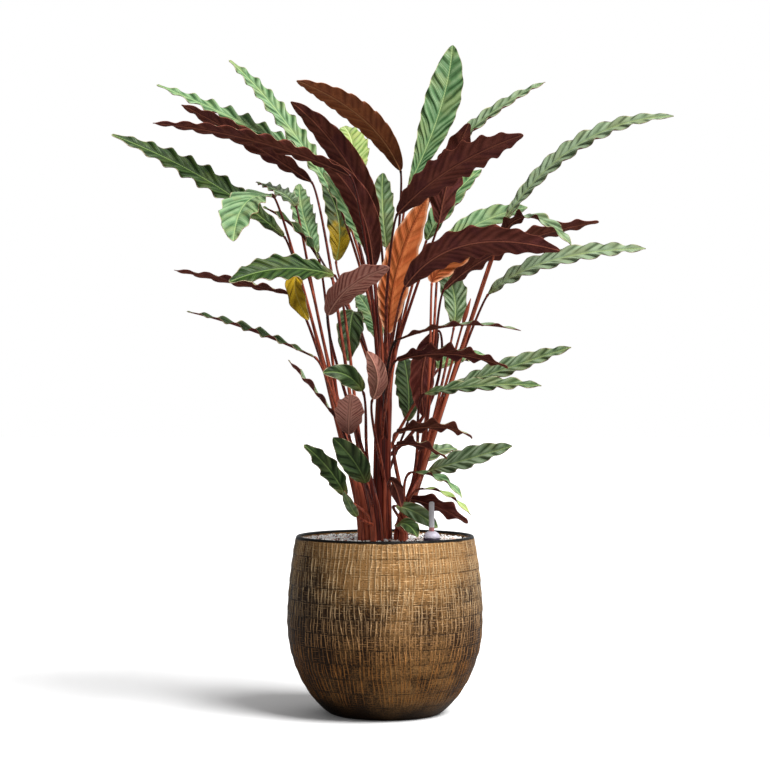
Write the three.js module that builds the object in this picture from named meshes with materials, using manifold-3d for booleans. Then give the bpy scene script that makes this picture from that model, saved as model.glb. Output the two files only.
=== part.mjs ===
// Potted velvet calathea: a ball-shaped bronze planter filled with mineral granulate, a water gauge,
// sheathed shoots and lance-shaped leaves with ruffled edges, green above and maroon below.
// Millimetres, +Z up, +X to the viewer's right. The origin is the centre of the planter's flat base.
import * as THREE from 'three';
import { mergeVertices } from 'three/addons/utils/BufferGeometryUtils.js';
import Module from 'manifold-3d';

const wasm = await Module();
wasm.setup();

// Driving dimensions
const planterHeight = 227;
const planterRimRadius = 114;
const planterBellyRadius = 125.3;
const planterBellyHeight = 121;
const planterFootRadius = 69;
const planterLowerCurve = { bend: 2.1, fullness: 0.78 };
const planterUpperCurve = 1.75;
const wallThickness = 4.5;
const floorThickness = 7;
const roundSegments = 40;
const outsideHeights = [0, 7, 22, 44, 69, 95, planterBellyHeight, 167, 196, planterHeight];
const insideHeights = [30, 69, planterBellyHeight, 167];
const seatGap = 0.3;
const sideGap = 0.45;

const soilLevel = 219;
const granuleRelief = 4.5;
const granuleRings = 8;
const rootDepth = 24;

const gaugePlace = [58, -76];
const gaugeShaftRadius = 7;
const gaugeShaftBottom = 62;
const gaugeCapRadius = 10.5;
const gaugeCapBottom = 224;
const gaugeCapTop = 237;
const gaugeCapBevel = 1.2;
const gaugeCapWaist = 229;
const gaugeCapShoulder = 233;
const gaugeCapShoulderRadius = 9.2;
const gaugeCapTopRadius = 5.8;
const gaugeTubeRadius = 3.4;
const gaugeTubeBore = 2.5;
const gaugeTubeTop = 274;
const gaugeTubeRoof = 2;
const gaugeTubeBevel = 1;
const gaugeFloatRadius = 2.0;
const gaugeFloatLength = 5;
const gaugeSegments = 14;

const bladeThickness = 0.9;
const depthSpread = 1.3;
const wavePitch = 26;
const waveScallop = 0.1;
const bladeFold = 0.16;
const bladeFootWidth = 4;
const bladeTipWidth = 1.6;
const blunting = 0.72;
const widestPoint = 0.46;
const bladeGap = 0.4;
const bladeSink = 1;

const petioleSides = 4;
const petioleSteps = 5;
const petioleFootRadius = 3;
const petioleTopRadius = 1.4;
const petioleHook = 18;
const hookShare = 0.3;
const riseShare = 0.3;
const releaseShare = 0.42;
const highestRelease = 0.96;
const bendCrowding = 1.5;
const sheathSides = 8;
const sheathSteps = 4;
const sheathUprightShare = 0.35;

const colours = {
  bronze: '#6a4a26',
  granulate: '#9c8a80',
  stem: '#7a3a2c',
  green: '#4c7a45',
  pale: '#8fb58a',
  lime: '#a9c46a',
  deep: '#33502f',
  dark: '#4f2523',
  brown: '#6b3a24',
  copper: '#b5613c',
  mauve: '#7d525a',
  yellow: '#b59a10',
  lilac: '#c9bfd0',
  clear: '#e6eaea',
  red: '#b3261e',
};

// Meshes and solids

const vector = (point) => new THREE.Vector3(...point);

// A closed surface with shared vertices and no collapsed triangles.
function closed(geometry) {
  geometry.deleteAttribute('normal');
  geometry.deleteAttribute('uv');
  const merged = mergeVertices(geometry, 1e-4);
  const source = merged.getIndex().array;
  const kept = [];
  for (let i = 0; i < source.length; i += 3) {
    const [a, b, c] = [source[i], source[i + 1], source[i + 2]];
    if (a !== b && b !== c && c !== a) kept.push(a, b, c);
  }
  merged.setIndex(kept);
  return merged;
}

function toSolid(geometry) {
  const merged = closed(geometry);
  const vertProperties = new Float32Array(merged.getAttribute('position').array);
  const triVerts = new Uint32Array(merged.getIndex().array);
  return new wasm.Manifold(new wasm.Mesh({ numProp: 3, vertProperties, triVerts }));
}

function toGeometry(solid) {
  const result = solid.getMesh();
  const geometry = new THREE.BufferGeometry();
  geometry.setAttribute('position', new THREE.BufferAttribute(result.vertProperties, 3));
  geometry.setIndex([...result.triVerts]);
  geometry.computeVertexNormals();
  return geometry;
}

function fromTriangles(points, triangles) {
  const geometry = new THREE.BufferGeometry();
  geometry.setFromPoints(points);
  geometry.setIndex(triangles);
  return geometry;
}

// A profile of [radius, height] turned about +Z.
function turned(profile, segments) {
  const outline = profile.map(([radius, height]) => new THREE.Vector2(radius, height));
  return closed(new THREE.LatheGeometry(outline, segments).rotateX(Math.PI / 2));
}

// A tube with a round section of changing radius through stations of { point, tangent, radius }.
function tube(stations, sides) {
  const points = [];
  const triangles = [];
  const across = new THREE.Vector3(1, 0, 0);
  if (Math.abs(stations[0].tangent.x) > 0.9) across.set(0, 1, 0);
  for (const { point, tangent, radius } of stations) {
    across.addScaledVector(tangent, -across.dot(tangent)).normalize();
    const up = new THREE.Vector3().crossVectors(tangent, across);
    for (let i = 0; i < sides; i += 1) {
      const angle = (2 * Math.PI * i) / sides;
      const corner = point.clone().addScaledVector(across, radius * Math.cos(angle));
      points.push(corner.addScaledVector(up, radius * Math.sin(angle)));
    }
  }
  for (let ring = 0; ring + 1 < stations.length; ring += 1) {
    for (let i = 0; i < sides; i += 1) {
      const [a, b] = [ring * sides + i, ring * sides + ((i + 1) % sides)];
      triangles.push(a, b, b + sides, a, b + sides, a + sides);
    }
  }
  const last = (stations.length - 1) * sides;
  for (let i = 1; i + 1 < sides; i += 1) {
    triangles.push(0, i + 1, i, last, last + i, last + i + 1);
  }
  return fromTriangles(points, triangles);
}

// Planter and granulate

// The planter's outside radius at a height: a full round bowl up to the belly, then a slow taper to the rim.
function planterRadius(height) {
  if (height < planterBellyHeight) {
    const drop = (planterBellyHeight - height) / planterBellyHeight;
    return planterFootRadius + (planterBellyRadius - planterFootRadius) * (
      (1 - drop ** planterLowerCurve.bend) ** planterLowerCurve.fullness
    );
  }
  const rise = (height - planterBellyHeight) / (planterHeight - planterBellyHeight);
  return planterBellyRadius - (planterBellyRadius - planterRimRadius) * rise ** planterUpperCurve;
}

function planter() {
  const profile = [[0, 0]];
  for (const height of outsideHeights) profile.push([planterRadius(height), height]);
  profile.push([planterRimRadius - wallThickness, planterHeight]);
  for (const height of insideHeights.toReversed()) {
    profile.push([planterRadius(height) - wallThickness, height]);
  }
  profile.push([planterRadius(floorThickness) - 2 * wallThickness, floorThickness]);
  profile.push([0, floorThickness]);
  return turned(profile, roundSegments);
}

// A repeatable height from 0 to 1 for each place on the granulate.
function grain(x, y) {
  const mixed = Math.sin(x * 12.9898 + y * 78.233) * 43758.5453;
  return mixed - Math.floor(mixed);
}

function substrate() {
  const inset = wallThickness + sideGap;
  const profile = [[0, floorThickness + seatGap]];
  profile.push([planterRadius(floorThickness) - inset - wallThickness, floorThickness + seatGap]);
  for (const height of insideHeights) profile.push([planterRadius(height) - inset, height]);
  const edge = planterRadius(soilLevel) - inset - sideGap;
  for (let ring = granuleRings; ring >= 0; ring -= 1) {
    profile.push([(edge * ring) / granuleRings, soilLevel]);
  }
  const body = turned(profile, roundSegments);
  const place = body.getAttribute('position');
  for (let i = 0; i < place.count; i += 1) {
    const [x, y] = [place.getX(i), place.getY(i)];
    const insideEdge = Math.hypot(x, y) < edge - sideGap;
    if (place.getZ(i) > insideHeights.at(-1) && insideEdge) {
      place.setZ(i, soilLevel + granuleRelief * grain(Math.round(x), Math.round(y)));
    }
  }
  let solid = toSolid(body);
  for (const shoot of Object.values(shoots)) {
    solid = solid.subtract(plainHole(shoot.foot, shoot.footRadius, soilLevel - rootDepth, sheathSides));
  }
  const gaugeHole = plainHole(gaugePlace, gaugeShaftRadius, gaugeShaftBottom - seatGap, gaugeSegments);
  return toGeometry(solid.subtract(gaugeHole));
}

// An upright hole that clears what stands in it, from a floor to above the granulate.
function plainHole([x, y], radius, floor, sides) {
  const up = new THREE.Vector3(0, 0, 1);
  const stations = [floor, planterHeight].map((height) => (
    { point: new THREE.Vector3(x, y, height), tangent: up, radius: radius + sideGap }
  ));
  return toSolid(tube(stations, sides));
}

// Water gauge

function gaugeBody() {
  return turned([
    [0, gaugeShaftBottom],
    [gaugeShaftRadius, gaugeShaftBottom],
    [gaugeShaftRadius, gaugeCapBottom],
    [gaugeCapRadius - gaugeCapBevel, gaugeCapBottom],
    [gaugeCapRadius, gaugeCapBottom + gaugeCapBevel],
    [gaugeCapRadius, gaugeCapWaist],
    [gaugeCapShoulderRadius, gaugeCapShoulder],
    [gaugeCapTopRadius, gaugeCapTop],
    [0, gaugeCapTop],
  ], gaugeSegments).translate(...gaugePlace, 0);
}

function gaugeTube() {
  return turned([
    [gaugeTubeBore, gaugeCapTop + seatGap],
    [gaugeTubeRadius, gaugeCapTop + seatGap],
    [gaugeTubeRadius, gaugeTubeTop - gaugeTubeBevel],
    [gaugeTubeRadius - gaugeTubeBevel, gaugeTubeTop],
    [0, gaugeTubeTop],
    [0, gaugeTubeTop - gaugeTubeRoof],
    [gaugeTubeBore, gaugeTubeTop - gaugeTubeRoof],
    [gaugeTubeBore, gaugeCapTop + seatGap],
  ], gaugeSegments).translate(...gaugePlace, 0);
}

function gaugeFloat() {
  const bottom = gaugeCapTop + seatGap;
  return turned([
    [0, bottom],
    [gaugeFloatRadius, bottom],
    [gaugeFloatRadius, bottom + gaugeFloatLength],
    [0, bottom + gaugeFloatLength],
  ], gaugeSegments).translate(...gaugePlace, 0);
}

// Shoots: each is a clasping sheath that leans out of a hole in the granulate and lets go of its
// petioles one above the other.
const shoots = {
  left: { foot: [-24, -20], footRadius: 11.5, top: [-47, -10, 335], topRadius: 8.5 },
  front: { foot: [-10, -38], footRadius: 9, top: [-25, -44, 318], topRadius: 7.5 },
  centre: { foot: [-4, 0], footRadius: 14, top: [-3, -4, 410], topRadius: 10.5 },
  right: { foot: [20, -10], footRadius: 9.5, top: [36, -10, 285], topRadius: 8 },
  back: { foot: [-3, 28], footRadius: 10, top: [2, 44, 400], topRadius: 7.5 },
  low: { foot: [22, -37], footRadius: 6, top: [24, -43, 248], topRadius: 4 },
};

// A leaf row: its name and colour, its full width, the height of its edge waves and the direction that
// its green upper side looks in, then the blade's foot, bend and tip as [x, y, z]. A sway bends its
// petiole aside, widest is where along it the blade is broadest, and a young leaf grows together with
// its shoot as one body.
function leaf(name, colour, options, ...places) {
  const [foot, bend, tip] = places.map(([x, y, z]) => [x, y * depthSpread, z]);
  return { name, colour, widest: widestPoint, sway: [0, 0], young: false, ...options, foot, bend, tip };
}

const leavesOf = {
  left: [
    leaf('far_left', 'green', { width: 40, ruffle: 3, face: [0.1, -0.7, 0.7] },
      [-130, 5, 610], [-220, -5, 690], [-345, -30, 735]),
    leaf('left_droop', 'pale', { width: 56, ruffle: 2.5, face: [-0.2, -0.7, 0.7], sway: [0, 12] },
      [-140, -45, 655], [-180, -95, 660], [-180, -150, 590]),
    leaf('left_curl', 'dark', { width: 28, ruffle: 2.5, face: [-0.2, 0.4, 0.9] },
      [-115, 20, 650], [-130, 60, 675], [-175, 130, 695]),
    leaf('left_twist', 'green', { width: 34, ruffle: 3, face: [0.5, -0.2, 0.8] },
      [-85, -5, 580], [-110, -10, 625], [-155, -20, 645]),
    leaf('left_thin_dark', 'dark', { width: 32, ruffle: 3, face: [0, 0.15, 1] },
      [-120, -5, 535], [-200, -25, 550], [-262, -60, 562]),
    leaf('left_yellow', 'yellow', { width: 26, ruffle: 1.5, face: [-0.5, -0.8, 0.3] },
      [-105, -34, 570], [-125, -48, 545], [-95, -58, 500]),
    leaf('left_thin', 'deep', { width: 28, ruffle: 3, face: [0.2, -0.2, 1] },
      [-90, -30, 455], [-175, -45, 495], [-245, -70, 510]),
    leaf('left_low_thin', 'dark', { width: 24, ruffle: 3.5, face: [0.7, 0.1, 0.7] },
      [-60, -30, 375], [-90, -40, 415], [-120, -60, 450]),
  ],
  front: [
    leaf('left_upper', 'dark', { width: 38, ruffle: 3, face: [0.1, 0.5, 0.9] },
      [-95, 5, 680], [-185, -10, 740], [-255, -45, 770]),
    leaf('left_mid', 'green', { width: 42, ruffle: 2.5, face: [0, -0.8, 0.6] },
      [-64, -60, 556], [-128, -85, 574], [-188, -120, 543]),
    leaf('front_ribbed', 'mauve', { width: 38, ruffle: 1.5, face: [-0.3, 0.9, 0.3] },
      [-70, -85, 505], [-50, -105, 545], [5, -130, 560]),
    leaf('left_mauve', 'mauve', { width: 37, ruffle: 1.5, face: [0, 0.7, 0.7] },
      [-45, -60, 358], [-45, -95, 385], [-40, -140, 408]),
    leaf('front_deep', 'deep', { width: 35, ruffle: 2.5, face: [-0.2, -1, 0.1] },
      [-24, -54, 297], [-36, -70, 328], [-64, -80, 354]),
    leaf('low_left', 'deep', { width: 26, ruffle: 3.5, face: [-0.2, -0.8, 0.5] },
      [-50, -35, 280], [-65, -50, 315], [-100, -75, 345]),
    leaf('front_small', 'deep', { width: 26, ruffle: 2.5, face: [-0.1, -1, 0.2], young: true },
      [-28, -66, 412], [-45, -80, 440], [-76, -88, 434]),
    leaf('low_sliver', 'green', { width: 14, ruffle: 1.5, face: [-0.3, -0.8, 0.5], young: true },
      [-35, -50, 255], [-45, -60, 270], [-50, -75, 288]),
  ],
  centre: [
    leaf('left_long', 'dark', { width: 34, ruffle: 3, face: [0.1, 0.4, 0.9], sway: [-8, -14] },
      [-45, -60, 680], [-155, -80, 730], [-280, -120, 735]),
    leaf('centre_folded', 'dark', { width: 40, ruffle: 2, face: [0.4, 0.8, 0.3] },
      [-15, -10, 570], [-20, -20, 665], [-85, -40, 705]),
    leaf('right_big', 'dark', { width: 48, ruffle: 3, face: [-0.3, 0.8, 0.4] },
      [16, -85, 630], [72, -110, 690], [163, -165, 714]),
    leaf('copper_upright', 'copper', { width: 44, ruffle: 0.8, face: [0.1, 1, 0] },
      [5, -15, 485], [5, -10, 575], [55, 0, 660]),
    leaf('right_front', 'dark', { width: 44, ruffle: 2.5, face: [0, 0.9, 0.5] },
      [25, -85, 540], [80, -110, 618], [210, -130, 580]),
    leaf('right_twist', 'dark', { width: 28, ruffle: 2.5, face: [0, 0, 1] },
      [15, -60, 475], [90, -85, 505], [165, -110, 485]),
    leaf('right_scallop', 'dark', { width: 32, ruffle: 4, face: [0, 0.5, 0.9] },
      [15, -55, 450], [80, -75, 470], [150, -100, 440]),
    leaf('front_mauve', 'mauve', { width: 26, ruffle: 1.5, face: [0, 1, 0.3], young: true },
      [-15, -75, 402], [0, -85, 430], [-22, -95, 460]),
  ],
  right: [
    leaf('right_pale', 'pale', { width: 40, ruffle: 3, face: [-0.2, -0.8, 0.6] },
      [75, 40, 600], [125, 45, 640], [187, 50, 652]),
    leaf('far_right', 'green', { width: 32, ruffle: 3, face: [-0.35, -0.65, 0.65] },
      [156, 10, 635], [243, 5, 762], [366, -20, 760]),
    leaf('right_curl', 'dark', { width: 34, ruffle: 4, face: [0, 0, 1], sway: [0, -25] },
      [146, -45, 606], [174, -76, 656], [226, -112, 588]),
    leaf('right_long', 'dark', { width: 38, ruffle: 3, face: [-0.2, 0.5, 0.8] },
      [75, -26, 540], [140, -30, 605], [270, -30, 625]),
    leaf('right_reach', 'green', { width: 35, ruffle: 3.5, face: [-0.2, -0.65, 0.7] },
      [132, -12, 535], [190, -25, 590], [325, -55, 589]),
    leaf('right_inner_low', 'green', { width: 36, ruffle: 3, face: [0.1, -0.8, 0.4] },
      [90, 40, 495], [100, 55, 550], [68, 110, 590]),
    leaf('right_low', 'green', { width: 34, ruffle: 3, face: [0, -0.65, 0.7] },
      [80, -15, 413], [152, -35, 441], [232, -55, 466]),
    leaf('right_low_near', 'green', { width: 32, ruffle: 3, face: [0, -0.5, 0.8] },
      [50, -45, 408], [122, -65, 424], [192, -85, 418]),
    leaf('copper_small', 'copper', { width: 34, ruffle: 1, face: [-0.2, 1, 0.2], young: true },
      [60, -5, 550], [65, 0, 575], [120, 5, 595]),
    leaf('low_behind', 'green', { width: 24, ruffle: 2.5, face: [0, -0.7, 0.7], young: true },
      [50, 15, 320], [70, 35, 340], [95, 60, 335]),
    leaf('rim_dark', 'dark', { width: 34, ruffle: 3, face: [0, 0.6, 0.8], young: true },
      [30, -20, 275], [65, -20, 270], [105, -30, 245]),
  ],
  back: [
    leaf('centre_dark', 'dark', { width: 43, ruffle: 2.5, face: [0.4, 0.8, 0.4] },
      [-10, 25, 635], [-55, 20, 735], [-120, -10, 780]),
    leaf('crest_brown', 'brown', { width: 44, ruffle: 2.5, face: [0.3, 0.8, 0.5] },
      [20, 45, 700], [-12, 15, 772], [-108, -90, 792]),
    leaf('crest_upright', 'pale', { width: 50, ruffle: 2.5, widest: 0.6, face: [-0.1, -1, 0.2] },
      [32, 70, 684], [84, 90, 788], [91, 105, 876]),
    leaf('centre_small', 'green', { width: 32, ruffle: 3, face: [0, -0.9, 0.4] },
      [2, 55, 600], [-6, 70, 658], [-3, 120, 706]),
    leaf('right_behind', 'dark', { width: 44, ruffle: 3, face: [-0.3, 0.8, 0.4] },
      [70, 40, 630], [84, 35, 710], [108, 5, 755]),
    leaf('high_right', 'green', { width: 34, ruffle: 2.5, face: [-0.5, -0.5, 0.7] },
      [80, 110, 725], [130, 125, 790], [220, 150, 835]),
    leaf('right_inner', 'pale', { width: 38, ruffle: 3, face: [-0.4, -0.7, 0.5] },
      [55, 60, 610], [85, 75, 675], [130, 110, 710]),
    leaf('right_back', 'pale', { width: 34, ruffle: 2.5, face: [0, -0.7, 0.7] },
      [70, 50, 440], [85, 75, 462], [137, 130, 460]),
    leaf('inner_dark', 'dark', { width: 34, ruffle: 2, face: [0, 1, 0.2], sway: [85, 30] },
      [68, 28, 488], [40, 30, 450], [50, 8, 378]),
    leaf('high_left', 'pale', { width: 34, ruffle: 3.5, face: [0, -0.5, 0.8], sway: [0, 25] },
      [-80, 88, 710], [-190, 95, 775], [-305, 90, 820]),
    leaf('high_spear', 'pale', { width: 32, ruffle: 3, face: [0.5, -0.7, 0.3] },
      [-65, 50, 665], [-138, 70, 790], [-210, 110, 857]),
    leaf('back_round', 'lime', { width: 46, ruffle: 2.5, face: [0, -0.7, 0.6] },
      [-50, 95, 680], [-34, 130, 750], [-58, 200, 782]),
    leaf('inner_left', 'pale', { width: 26, ruffle: 2.5, face: [0.4, -0.8, 0.4] },
      [-20, 35, 590], [-50, 40, 655], [-80, 32, 695]),
    leaf('inner_yellowing', 'yellow', { width: 34, ruffle: 2.5, face: [0.1, -0.9, 0.3], sway: [-14, 14] },
      [-65, 85, 585], [-50, 95, 645], [-85, 120, 695]),
    leaf('back_left', 'pale', { width: 32, ruffle: 2.5, face: [0.1, -0.8, 0.5], sway: [-4, 26] },
      [-90, 80, 595], [-115, 110, 645], [-120, 190, 700]),
    leaf('back_olive', 'deep', { width: 36, ruffle: 2.5, face: [0, -0.9, 0.4] },
      [-40, 60, 515], [-45, 35, 520], [-48, 18, 450]),
    leaf('back_pale', 'pale', { width: 32, ruffle: 2.5, face: [0, -0.8, 0.5] },
      [-8, 66, 478], [-15, 95, 515], [-38, 160, 545]),
    leaf('back_right_olive', 'deep', { width: 36, ruffle: 2.5, face: [0, -0.8, 0.5] },
      [30, 45, 372], [35, 70, 413], [25, 140, 460]),
  ],
  low: [
    leaf('low_thin_dark', 'dark', { width: 28, ruffle: 4, face: [0, 0.5, 0.9] },
      [15, -55, 360], [75, -75, 378], [107, -95, 354]),
    leaf('low_right', 'green', { width: 38, ruffle: 3, face: [0, -0.65, 0.6] },
      [55, -20, 310], [97, -35, 324], [158, -60, 343]),
    leaf('low_short', 'dark', { width: 28, ruffle: 3.5, face: [0, 0.5, 0.8], young: true },
      [15, -75, 345], [45, -90, 352], [75, -115, 330]),
    leaf('low_green', 'pale', { width: 18, ruffle: 3, face: [0.2, -0.2, 0.9], young: true },
      [35, -50, 310], [75, -60, 310], [95, -75, 280]),
    leaf('low_lime', 'lime', { width: 14, ruffle: 2.5, face: [0.2, -0.1, 0.9], young: true },
      [45, -60, 290], [75, -75, 295], [105, -90, 260]),
    leaf('rim_green', 'green', { width: 22, ruffle: 3.5, face: [0, -1, 0.15], young: true },
      [14, -51, 268], [38, -50, 265], [66, -42, 240]),
    leaf('rim_small', 'deep', { width: 22, ruffle: 2.5, face: [0, -0.7, 0.7], young: true },
      [15, -50, 245], [30, -65, 252], [40, -80, 232]),
    leaf('rim_crumpled', 'dark', { width: 18, ruffle: 2.5, face: [0, 1, 0.3], young: true },
      [6, -62, 300], [12, -70, 304], [20, -72, 268]),
  ],
};

const allLeaves = Object.entries(leavesOf).flatMap(([shoot, rows]) => (
  rows.map((row) => ({ ...row, shoot }))
));
const leaves = allLeaves.filter((row) => !row.young);
const youngLeaves = allLeaves.filter((row) => row.young);

// The rolled young leaf that stands between the right-hand petioles.
const sprout = {
  foot: [100, 5, 498], tip: [110, 5, 530], swellRadius: 3.2, swellShare: 0.35, tipRadius: 0.7,
};

// Leaf blades

// Half the blade's width along its length, from 0 at the foot to 1 at the tip. Most blades are widest
// before the middle, with a rounded foot and a long point.
function halfWidth(along, { width, widest }) {
  const stretch = Math.log(0.5) / Math.log(widest);
  const swell = Math.sin(Math.PI * along ** stretch) ** blunting;
  const end = THREE.MathUtils.lerp(bladeFootWidth, bladeTipWidth, along);
  return (end + (width - end) * swell) / 2;
}

function bladeCurve({ foot, bend, tip }) {
  return new THREE.QuadraticBezierCurve3(vector(foot), vector(bend), vector(tip));
}

// One thin arched blade: an edge, rib and edge at each crest and trough of its waves, and the same
// triangles on both faces.
function blade(row, startOffset) {
  const curve = bladeCurve(row);
  const length = curve.getLength();
  const steps = 2 * Math.max(2, Math.round(length / wavePitch));
  const face = vector(row.face);
  const tops = [];
  const bottoms = [];
  for (let i = 0; i <= steps; i += 1) {
    const along = i / steps;
    const middle = curve.getPointAt(along);
    const forward = curve.getTangentAt(along);
    const up = face.clone().addScaledVector(forward, -face.dot(forward)).normalize();
    const side = new THREE.Vector3().crossVectors(forward, up);
    if (i === 0) middle.addScaledVector(forward, startOffset);
    const crest = i % 2 === 0 ? 1 : -1;
    const grown = Math.sqrt(Math.sin(Math.PI * along));
    const half = halfWidth(along, row) * (1 - waveScallop * (1 - crest) * 0.5 * grown);
    for (const hand of [1, 0, -1]) {
      const lift = Math.abs(hand) * (bladeFold * half + row.ruffle * crest * hand * grown);
      const top = middle.clone().addScaledVector(side, hand * half).addScaledVector(up, lift);
      tops.push(top);
      bottoms.push(top.clone().addScaledVector(up, -bladeThickness));
    }
  }
  const under = tops.length;
  const triangles = [];
  const quad = (a, b, c, d) => triangles.push(a, b, c, a, c, d);
  for (let i = 0; i < steps; i += 1) {
    const [edge, rib, otherEdge] = [3 * i, 3 * i + 1, 3 * i + 2];
    quad(rib, edge, edge + 3, rib + 3);
    quad(under + rib, under + rib + 3, under + edge + 3, under + edge);
    triangles.push(rib, rib + 3, otherEdge + 3, rib, otherEdge + 3, otherEdge);
    triangles.push(under + rib, under + otherEdge + 3, under + rib + 3);
    triangles.push(under + rib, under + otherEdge, under + otherEdge + 3);
    quad(edge, under + edge, under + edge + 3, edge + 3);
    quad(otherEdge, otherEdge + 3, under + otherEdge + 3, under + otherEdge);
  }
  const tip = 3 * steps;
  for (const k of [0, 1]) {
    quad(k, k + 1, under + k + 1, under + k);
    quad(tip + k, under + tip + k, under + tip + k + 1, tip + k + 1);
  }
  return fromTriangles([...tops, ...bottoms], triangles);
}

// Petioles and sheaths

function sheathCurve({ foot: [x, y], top }) {
  return new THREE.QuadraticBezierCurve3(
    new THREE.Vector3(x, y, soilLevel + granuleRelief),
    new THREE.Vector3(x, y, soilLevel + sheathUprightShare * (top[2] - soilLevel)),
    vector(top),
  );
}

function sheath(shoot) {
  const [x, y] = shoot.foot;
  const buried = new THREE.Vector3(x, y, soilLevel - rootDepth + seatGap);
  const stations = [{ point: buried, tangent: new THREE.Vector3(0, 0, 1), radius: shoot.footRadius }];
  const curve = sheathCurve(shoot);
  for (let i = 0; i <= sheathSteps; i += 1) {
    const radius = THREE.MathUtils.lerp(shoot.footRadius, shoot.topRadius, i / sheathSteps);
    const [point, tangent] = [curve.getPoint(i / sheathSteps), curve.getTangent(i / sheathSteps)];
    stations.push({ point, tangent, radius });
  }
  return tube(stations, sheathSides);
}

// A petiole leaves the sheath where the leaf's height asks for it, rises along the shoot and bends
// over into the blade at its swollen top joint.
function petiole(row) {
  const curve = sheathCurve(shoots[row.shoot]);
  const foot = vector(row.foot);
  const shootHeight = shoots[row.shoot].top[2] - soilLevel;
  const release = Math.min(highestRelease, (releaseShare * (foot.z - soilLevel)) / shootHeight);
  const start = curve.getPoint(release);
  const rise = foot.distanceTo(start);
  const into = bladeCurve(row).getTangent(0);
  const risen = start.clone().addScaledVector(curve.getTangent(release), riseShare * rise);
  risen.x += row.sway[0];
  risen.y += row.sway[1];
  const hook = foot.clone().addScaledVector(into, -Math.min(petioleHook, hookShare * rise));
  const path = new THREE.CubicBezierCurve3(start, risen, hook, foot);
  const stations = [];
  for (let i = 0; i <= petioleSteps; i += 1) {
    const along = 1 - (1 - i / petioleSteps) ** bendCrowding;
    const radius = THREE.MathUtils.lerp(petioleFootRadius, petioleTopRadius, along);
    stations.push({ point: path.getPoint(along), tangent: path.getTangent(along), radius });
  }
  return tube(stations, petioleSides);
}

function rolledSprout() {
  const [foot, tip] = [vector(sprout.foot), vector(sprout.tip)];
  const tangent = tip.clone().sub(foot).normalize();
  const stations = [
    { point: foot, tangent, radius: petioleTopRadius },
    { point: foot.clone().lerp(tip, sprout.swellShare), tangent, radius: sprout.swellRadius },
    { point: tip, tangent, radius: sprout.tipRadius },
  ];
  return tube(stations, petioleSides);
}

function shootBody(name) {
  let solid = toSolid(sheath(shoots[name]));
  for (const row of [...leaves, ...youngLeaves]) {
    if (row.shoot === name) solid = solid.add(toSolid(petiole(row)));
  }
  for (const row of youngLeaves) {
    if (row.shoot === name) solid = solid.add(toSolid(blade(row, -bladeSink)));
  }
  if (name === 'right') {
    const stalk = { shoot: name, foot: sprout.foot, bend: sprout.tip, tip: sprout.tip, sway: [0, 0] };
    solid = solid.add(toSolid(petiole(stalk))).add(toSolid(rolledSprout()));
  }
  return toGeometry(solid);
}

// Assembly

const plant = new THREE.Group();

function piece(name, geometry, colour, roughness, metalness = 0) {
  const material = new THREE.MeshStandardMaterial({ color: colours[colour], roughness, metalness });
  const mesh = new THREE.Mesh(geometry, material);
  mesh.name = name;
  plant.add(mesh);
}

piece('planter', planter(), 'bronze', 0.45, 0.6);
piece('substrate', substrate(), 'granulate', 0.95);
piece('gauge_body', gaugeBody(), 'lilac', 0.4);
piece('gauge_tube', gaugeTube(), 'clear', 0.15);
piece('gauge_float', gaugeFloat(), 'red', 0.5);
for (const name of Object.keys(shoots)) piece(`shoot_${name}`, shootBody(name), 'stem', 0.6);
for (const row of leaves) piece(`leaf_${row.name}`, blade(row, bladeGap), row.colour, 0.7);

export default plant;
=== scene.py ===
"""Potted velvet calathea: the looks of the plant, its planter, its granulate and its water gauge.

Lengths in the tables are millimetres, as in the part's own source, and every mesh is in metres.
"""
import math

import bpy
import numpy as np
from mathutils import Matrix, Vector


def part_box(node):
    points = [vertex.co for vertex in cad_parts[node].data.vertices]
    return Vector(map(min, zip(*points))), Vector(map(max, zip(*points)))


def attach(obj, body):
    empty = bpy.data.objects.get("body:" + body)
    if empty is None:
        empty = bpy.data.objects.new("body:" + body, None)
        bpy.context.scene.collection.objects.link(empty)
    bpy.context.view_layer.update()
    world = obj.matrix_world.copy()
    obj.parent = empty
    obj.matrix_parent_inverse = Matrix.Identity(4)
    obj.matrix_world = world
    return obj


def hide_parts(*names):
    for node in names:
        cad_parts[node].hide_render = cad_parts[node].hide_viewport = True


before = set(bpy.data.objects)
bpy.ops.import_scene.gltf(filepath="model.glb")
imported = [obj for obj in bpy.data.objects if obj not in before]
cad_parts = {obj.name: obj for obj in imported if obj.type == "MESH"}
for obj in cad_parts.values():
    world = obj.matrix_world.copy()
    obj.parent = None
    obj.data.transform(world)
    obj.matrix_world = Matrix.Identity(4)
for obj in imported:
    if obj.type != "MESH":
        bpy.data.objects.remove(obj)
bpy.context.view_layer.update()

bl_info = {
    "name": "Potted Velvet Calathea",
    "version": (1, 0, 0),
    "blender": (4, 5, 0),
    "location": "3D View > Sidebar > Calathea",
    "description": "Builds a potted calathea with ruffled leaves, a bronze planter and a water gauge",
    "category": "Add Mesh",
}

MM = 0.001
BODY = "root"

# Planter and granulate, as in the part
PLANTER_HEIGHT = 227
RIM_RADIUS = 114
BELLY_RADIUS = 125.3
BELLY_HEIGHT = 121
FOOT_RADIUS = 69
WALL = 4.5
FLOOR = 7
SOIL_LEVEL = 219
GRANULE_RELIEF = 4.5
SEAT_GAP = 0.3
SIDE_GAP = 0.45
ROOT_DEPTH = 24

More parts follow.
